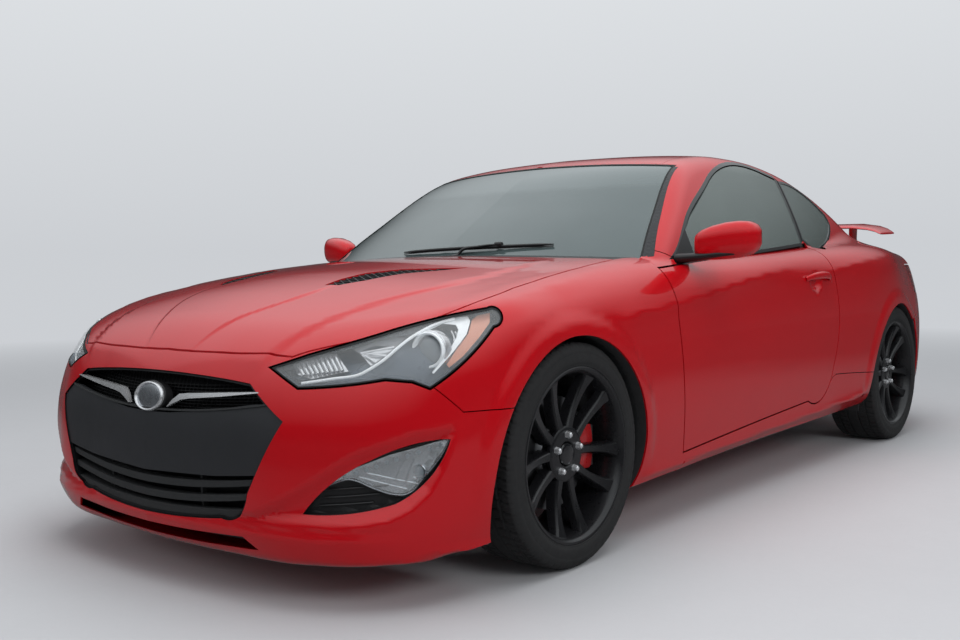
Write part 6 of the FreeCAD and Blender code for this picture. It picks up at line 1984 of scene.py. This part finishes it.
def build_steering_wheel():
    axis = (0, math.cos(WHEEL_RAKE), math.sin(WHEEL_RAKE))
    turn = Matrix.Rotation(WHEEL_RAKE - math.pi / 2, 4, "X") @ Matrix.Rotation(math.pi, 4, "Z")
    t = np.linspace(0, math.tau, 145)[:-1]
    rings = []
    for a in t:
        left, right = (0.0022 * math.exp(-((math.degrees(a) - thumb) / 14) ** 2) for thumb in (45, 135))
        grip = 0.0150 + left + right
        b = turn_steps(18)
        rad = 0.178 + grip * 0.9 * np.cos(b)
        rings.append(np.stack([rad * math.cos(a), rad * math.sin(a), grip * np.sin(b)], -1))
    rim = rings_mesh(rings, loop=True)
    pad = []
    a = turn_steps(48)
    r = squircle(a, 2.6)
    for z, k in ((-0.030, 0.80), (-0.020, 0.95), (0.004, 1.0), (0.016, 0.94), (0.022, 0.78), (0.0245, 0.40)):
        pad.append(np.stack([0.060 * k * r * np.cos(a), 0.052 * k * r * np.sin(a), np.full(48, z)], -1))
    leather = joined([rim, rings_mesh(pad)])
    place("steering_rim", moved(soften(leather, 60), WHEEL_AT, turn), "steering", LEATHER, ["steering_wheel"])
    arms = []
    for deg, wide in ((0, 0.026), (180, 0.026), (270, 0.016)):
        d = math.radians(deg)
        path = [(0.045 * math.cos(d), 0.045 * math.sin(d), -0.006),
                (0.10 * math.cos(d), 0.10 * math.sin(d), -0.004),
                (0.170 * math.cos(d), 0.170 * math.sin(d), 0.0)]
        arms.append(tube(smooth_path(path, 14), np.linspace(wide, wide * 0.62, 14), 16, 0.30, (0, 0, 1)))
    place("steering_spokes", moved(soften(joined(arms), 50), WHEEL_AT, turn), "steering", SATIN)
    column = moved(lathe([(-0.20, 0.0005), (-0.20, 0.040), (-0.060, 0.046), (-0.034, 0.040),
                          (-0.034, 0.0005)], 40), WHEEL_AT, aim(axis))
    stalks = []
    for side in (-1, 1):
        stalks.append(bend([(0.37 + side * 0.035, -0.505, 0.782), (0.37 + side * 0.09, -0.498, 0.790),
                            (0.37 + side * 0.145, -0.490, 0.792)], 0.007, 10, 0.02))
    place("steering_column", soften(joined([column] + stalks), 50), "body", GRAINED)


build_window_trim()
build_screen_trim()
build_mirrors()
build_handles()
build_wiper()
build_vents()
build_headlamps()
build_fog_lamps()
build_grille()
build_wheels()
build_tail_lamps()
build_wing()
build_rear_fittings()
build_arch_lips()
build_exhaust()
build_boot_trim()
build_lining()
build_door_linings()
build_front_seats()
build_rear_seat()
build_dashboard()
build_steering_wheel()


# Plain finishes for the solids that stay
def dress(names, material):
    for name in names:
        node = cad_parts.get(name)
        if node:
            node.data.materials.clear()
            node.data.materials.append(material)


dress(["floor_pan"], UNDERCOAT)
dress(["front_frame", "front_suspension", "rear_suspension", "knuckle_left", "knuckle_right"], CHASSIS)
dress(["undertray", "wheel_liners", "cowl"], GRAINED)
dress(["engine_block"], CAST)


# Studio: floor, sky, lights and camera
HORIZON = (0.60, 0.62, 0.65)


def seen_rays(tree):
    """One for camera, mirror and see-through rays, nought for light on the object."""
    path = add_node(tree, "LightPath").outputs
    direct = math_node(tree, "ADD", path["Is Camera Ray"], path["Is Glossy Ray"])
    return math_node(tree, "ADD", direct, path["Is Transmission Ray"], clamp=True)


def floor_material():
    """Pale floor that keeps the shadow near the car and meets the sky far away."""
    mat = finish("floor_paint", (0.50, 0.51, 0.53), 0.70, vary=0.02, rough_vary=0.05, grain=0.3,
                 grain_scale=120.0)
    tree = mat.node_tree
    mirrored_ray = add_node(tree, "LightPath").outputs["Is Glossy Ray"]
    glow = add_node(tree, "Emission", {"Color": blend_colors(tree, mirrored_ray, HORIZON,
            (0.07, 0.072, 0.075))})
    coord = add_node(tree, "TexCoord")
    length = add_node(tree, "VectorMath", {0: coord.outputs["Object"]}, operation="LENGTH")
    far = map_range(tree, length.outputs["Value"], 3.4, 11.0, 0.0, 1.0)
    far = math_node(tree, "MULTIPLY_ADD", mirrored_ray, 0.72, far, clamp=True)
    share = math_node(tree, "MULTIPLY", far, seen_rays(tree))
    mix = add_node(tree, "MixShader", {0: share, 1: tree.nodes["Principled BSDF"].outputs[0],
                                       2: glow.outputs[0]})
    tree.links.new(mix.outputs[0], tree.nodes["Material Output"].inputs["Surface"])
    return mat


def build_stage():
    mesh = new_mesh("floor", [(-40, -40, 0), (40, -40, 0), (40, 40, 0), (-40, 40, 0)], [(0, 1, 2, 3)])
    mesh.materials.append(floor_material())
    new_object("studio_floor", mesh)

    world = bpy.data.worlds.new("studio_world")
    bpy.context.scene.world = world
    world.use_nodes = True
    tree = world.node_tree
    tree.nodes.clear()
    coord = add_node(tree, "TexCoord")
    level = add_node(tree, "SeparateXYZ", {0: coord.outputs["Generated"]}).outputs["Z"]
    low, rise, height = (map_range(tree, level, a, b, 0.0, 1.0) for a,
                         b in ((-0.05, 0.10), (0.20, 0.62), (0.02, 0.70)))
    ground = blend_colors(tree, low, (0.10, 0.105, 0.11), (0.030, 0.034, 0.036))
    mirrored_sky = blend_colors(tree, rise, ground, (0.92, 0.97, 1.0))
    seen = blend_colors(tree, height, HORIZON, (0.95, 0.98, 1.0))
    mirrored_ray = add_node(tree, "LightPath").outputs["Is Glossy Ray"]
    sky = blend_colors(tree, mirrored_ray, seen, mirrored_sky)
    shown = add_node(tree, "Background", {"Color": sky, "Strength": 1.0})
    lit = add_node(tree, "Background", {"Color": (0.95, 0.97, 1.0, 1), "Strength": 0.42})
    mix = add_node(tree, "MixShader", {0: seen_rays(tree), 1: lit.outputs[0], 2: shown.outputs[0]})
    add_node(tree, "OutputWorld", {"Surface": mix.outputs[0]})

    def area(name, at, target, size, size_y, power):
        data = bpy.data.lights.new(name, "AREA")
        data.shape = "RECTANGLE"
        data.size = size
        data.size_y = size_y
        data.energy = power
        lamp = bpy.data.objects.new(name, data)
        lamp.location = at
        lamp.rotation_euler = (Vector(target) - Vector(at)).to_track_quat("-Z", "Y").to_euler()
        lamp.visible_glossy = False
        bpy.context.scene.collection.objects.link(lamp)

    area("overhead", (0.3, -0.4, 5.6), (0, 0, 0.5), 4.5, 7.5, 300)
    area("key", (6.5, -3.0, 3.8), (0, 0, 0.6), 3.0, 2.0, 150)
    area("fill", (-4.5, -6.0, 2.8), (0, -1, 0.5), 3.0, 2.0, 70)


CAMERA_AT = (2.58065, -3.94328, 0.87349)
CAMERA_YAW, CAMERA_PITCH, CAMERA_ROLL = (math.radians(a) for a in (39.41703, -2.80402, -0.70671))


def build_camera():
    forward = Vector((-math.sin(CAMERA_YAW) * math.cos(CAMERA_PITCH),
                      math.cos(CAMERA_YAW) * math.cos(CAMERA_PITCH), math.sin(CAMERA_PITCH)))
    level = Vector((math.cos(CAMERA_YAW), math.sin(CAMERA_YAW), 0))
    above = level.cross(forward)
    right = level * math.cos(CAMERA_ROLL) + above * math.sin(CAMERA_ROLL)
    up = above * math.cos(CAMERA_ROLL) - level * math.sin(CAMERA_ROLL)
    data = bpy.data.cameras.new("photo_view")
    data.lens = 38.822
    data.sensor_width = 36.0
    cam = bpy.data.objects.new("photo_view", data)
    cam.matrix_world = Matrix((
        (right.x, up.x, -forward.x, CAMERA_AT[0]),
        (right.y, up.y, -forward.y, CAMERA_AT[1]),
        (right.z, up.z, -forward.z, CAMERA_AT[2]),
        (0, 0, 0, 1),
    ))
    bpy.context.scene.collection.objects.link(cam)
    bpy.context.scene.camera = cam


build_stage()
build_camera()
bpy.context.scene.view_settings.view_transform = "Standard"
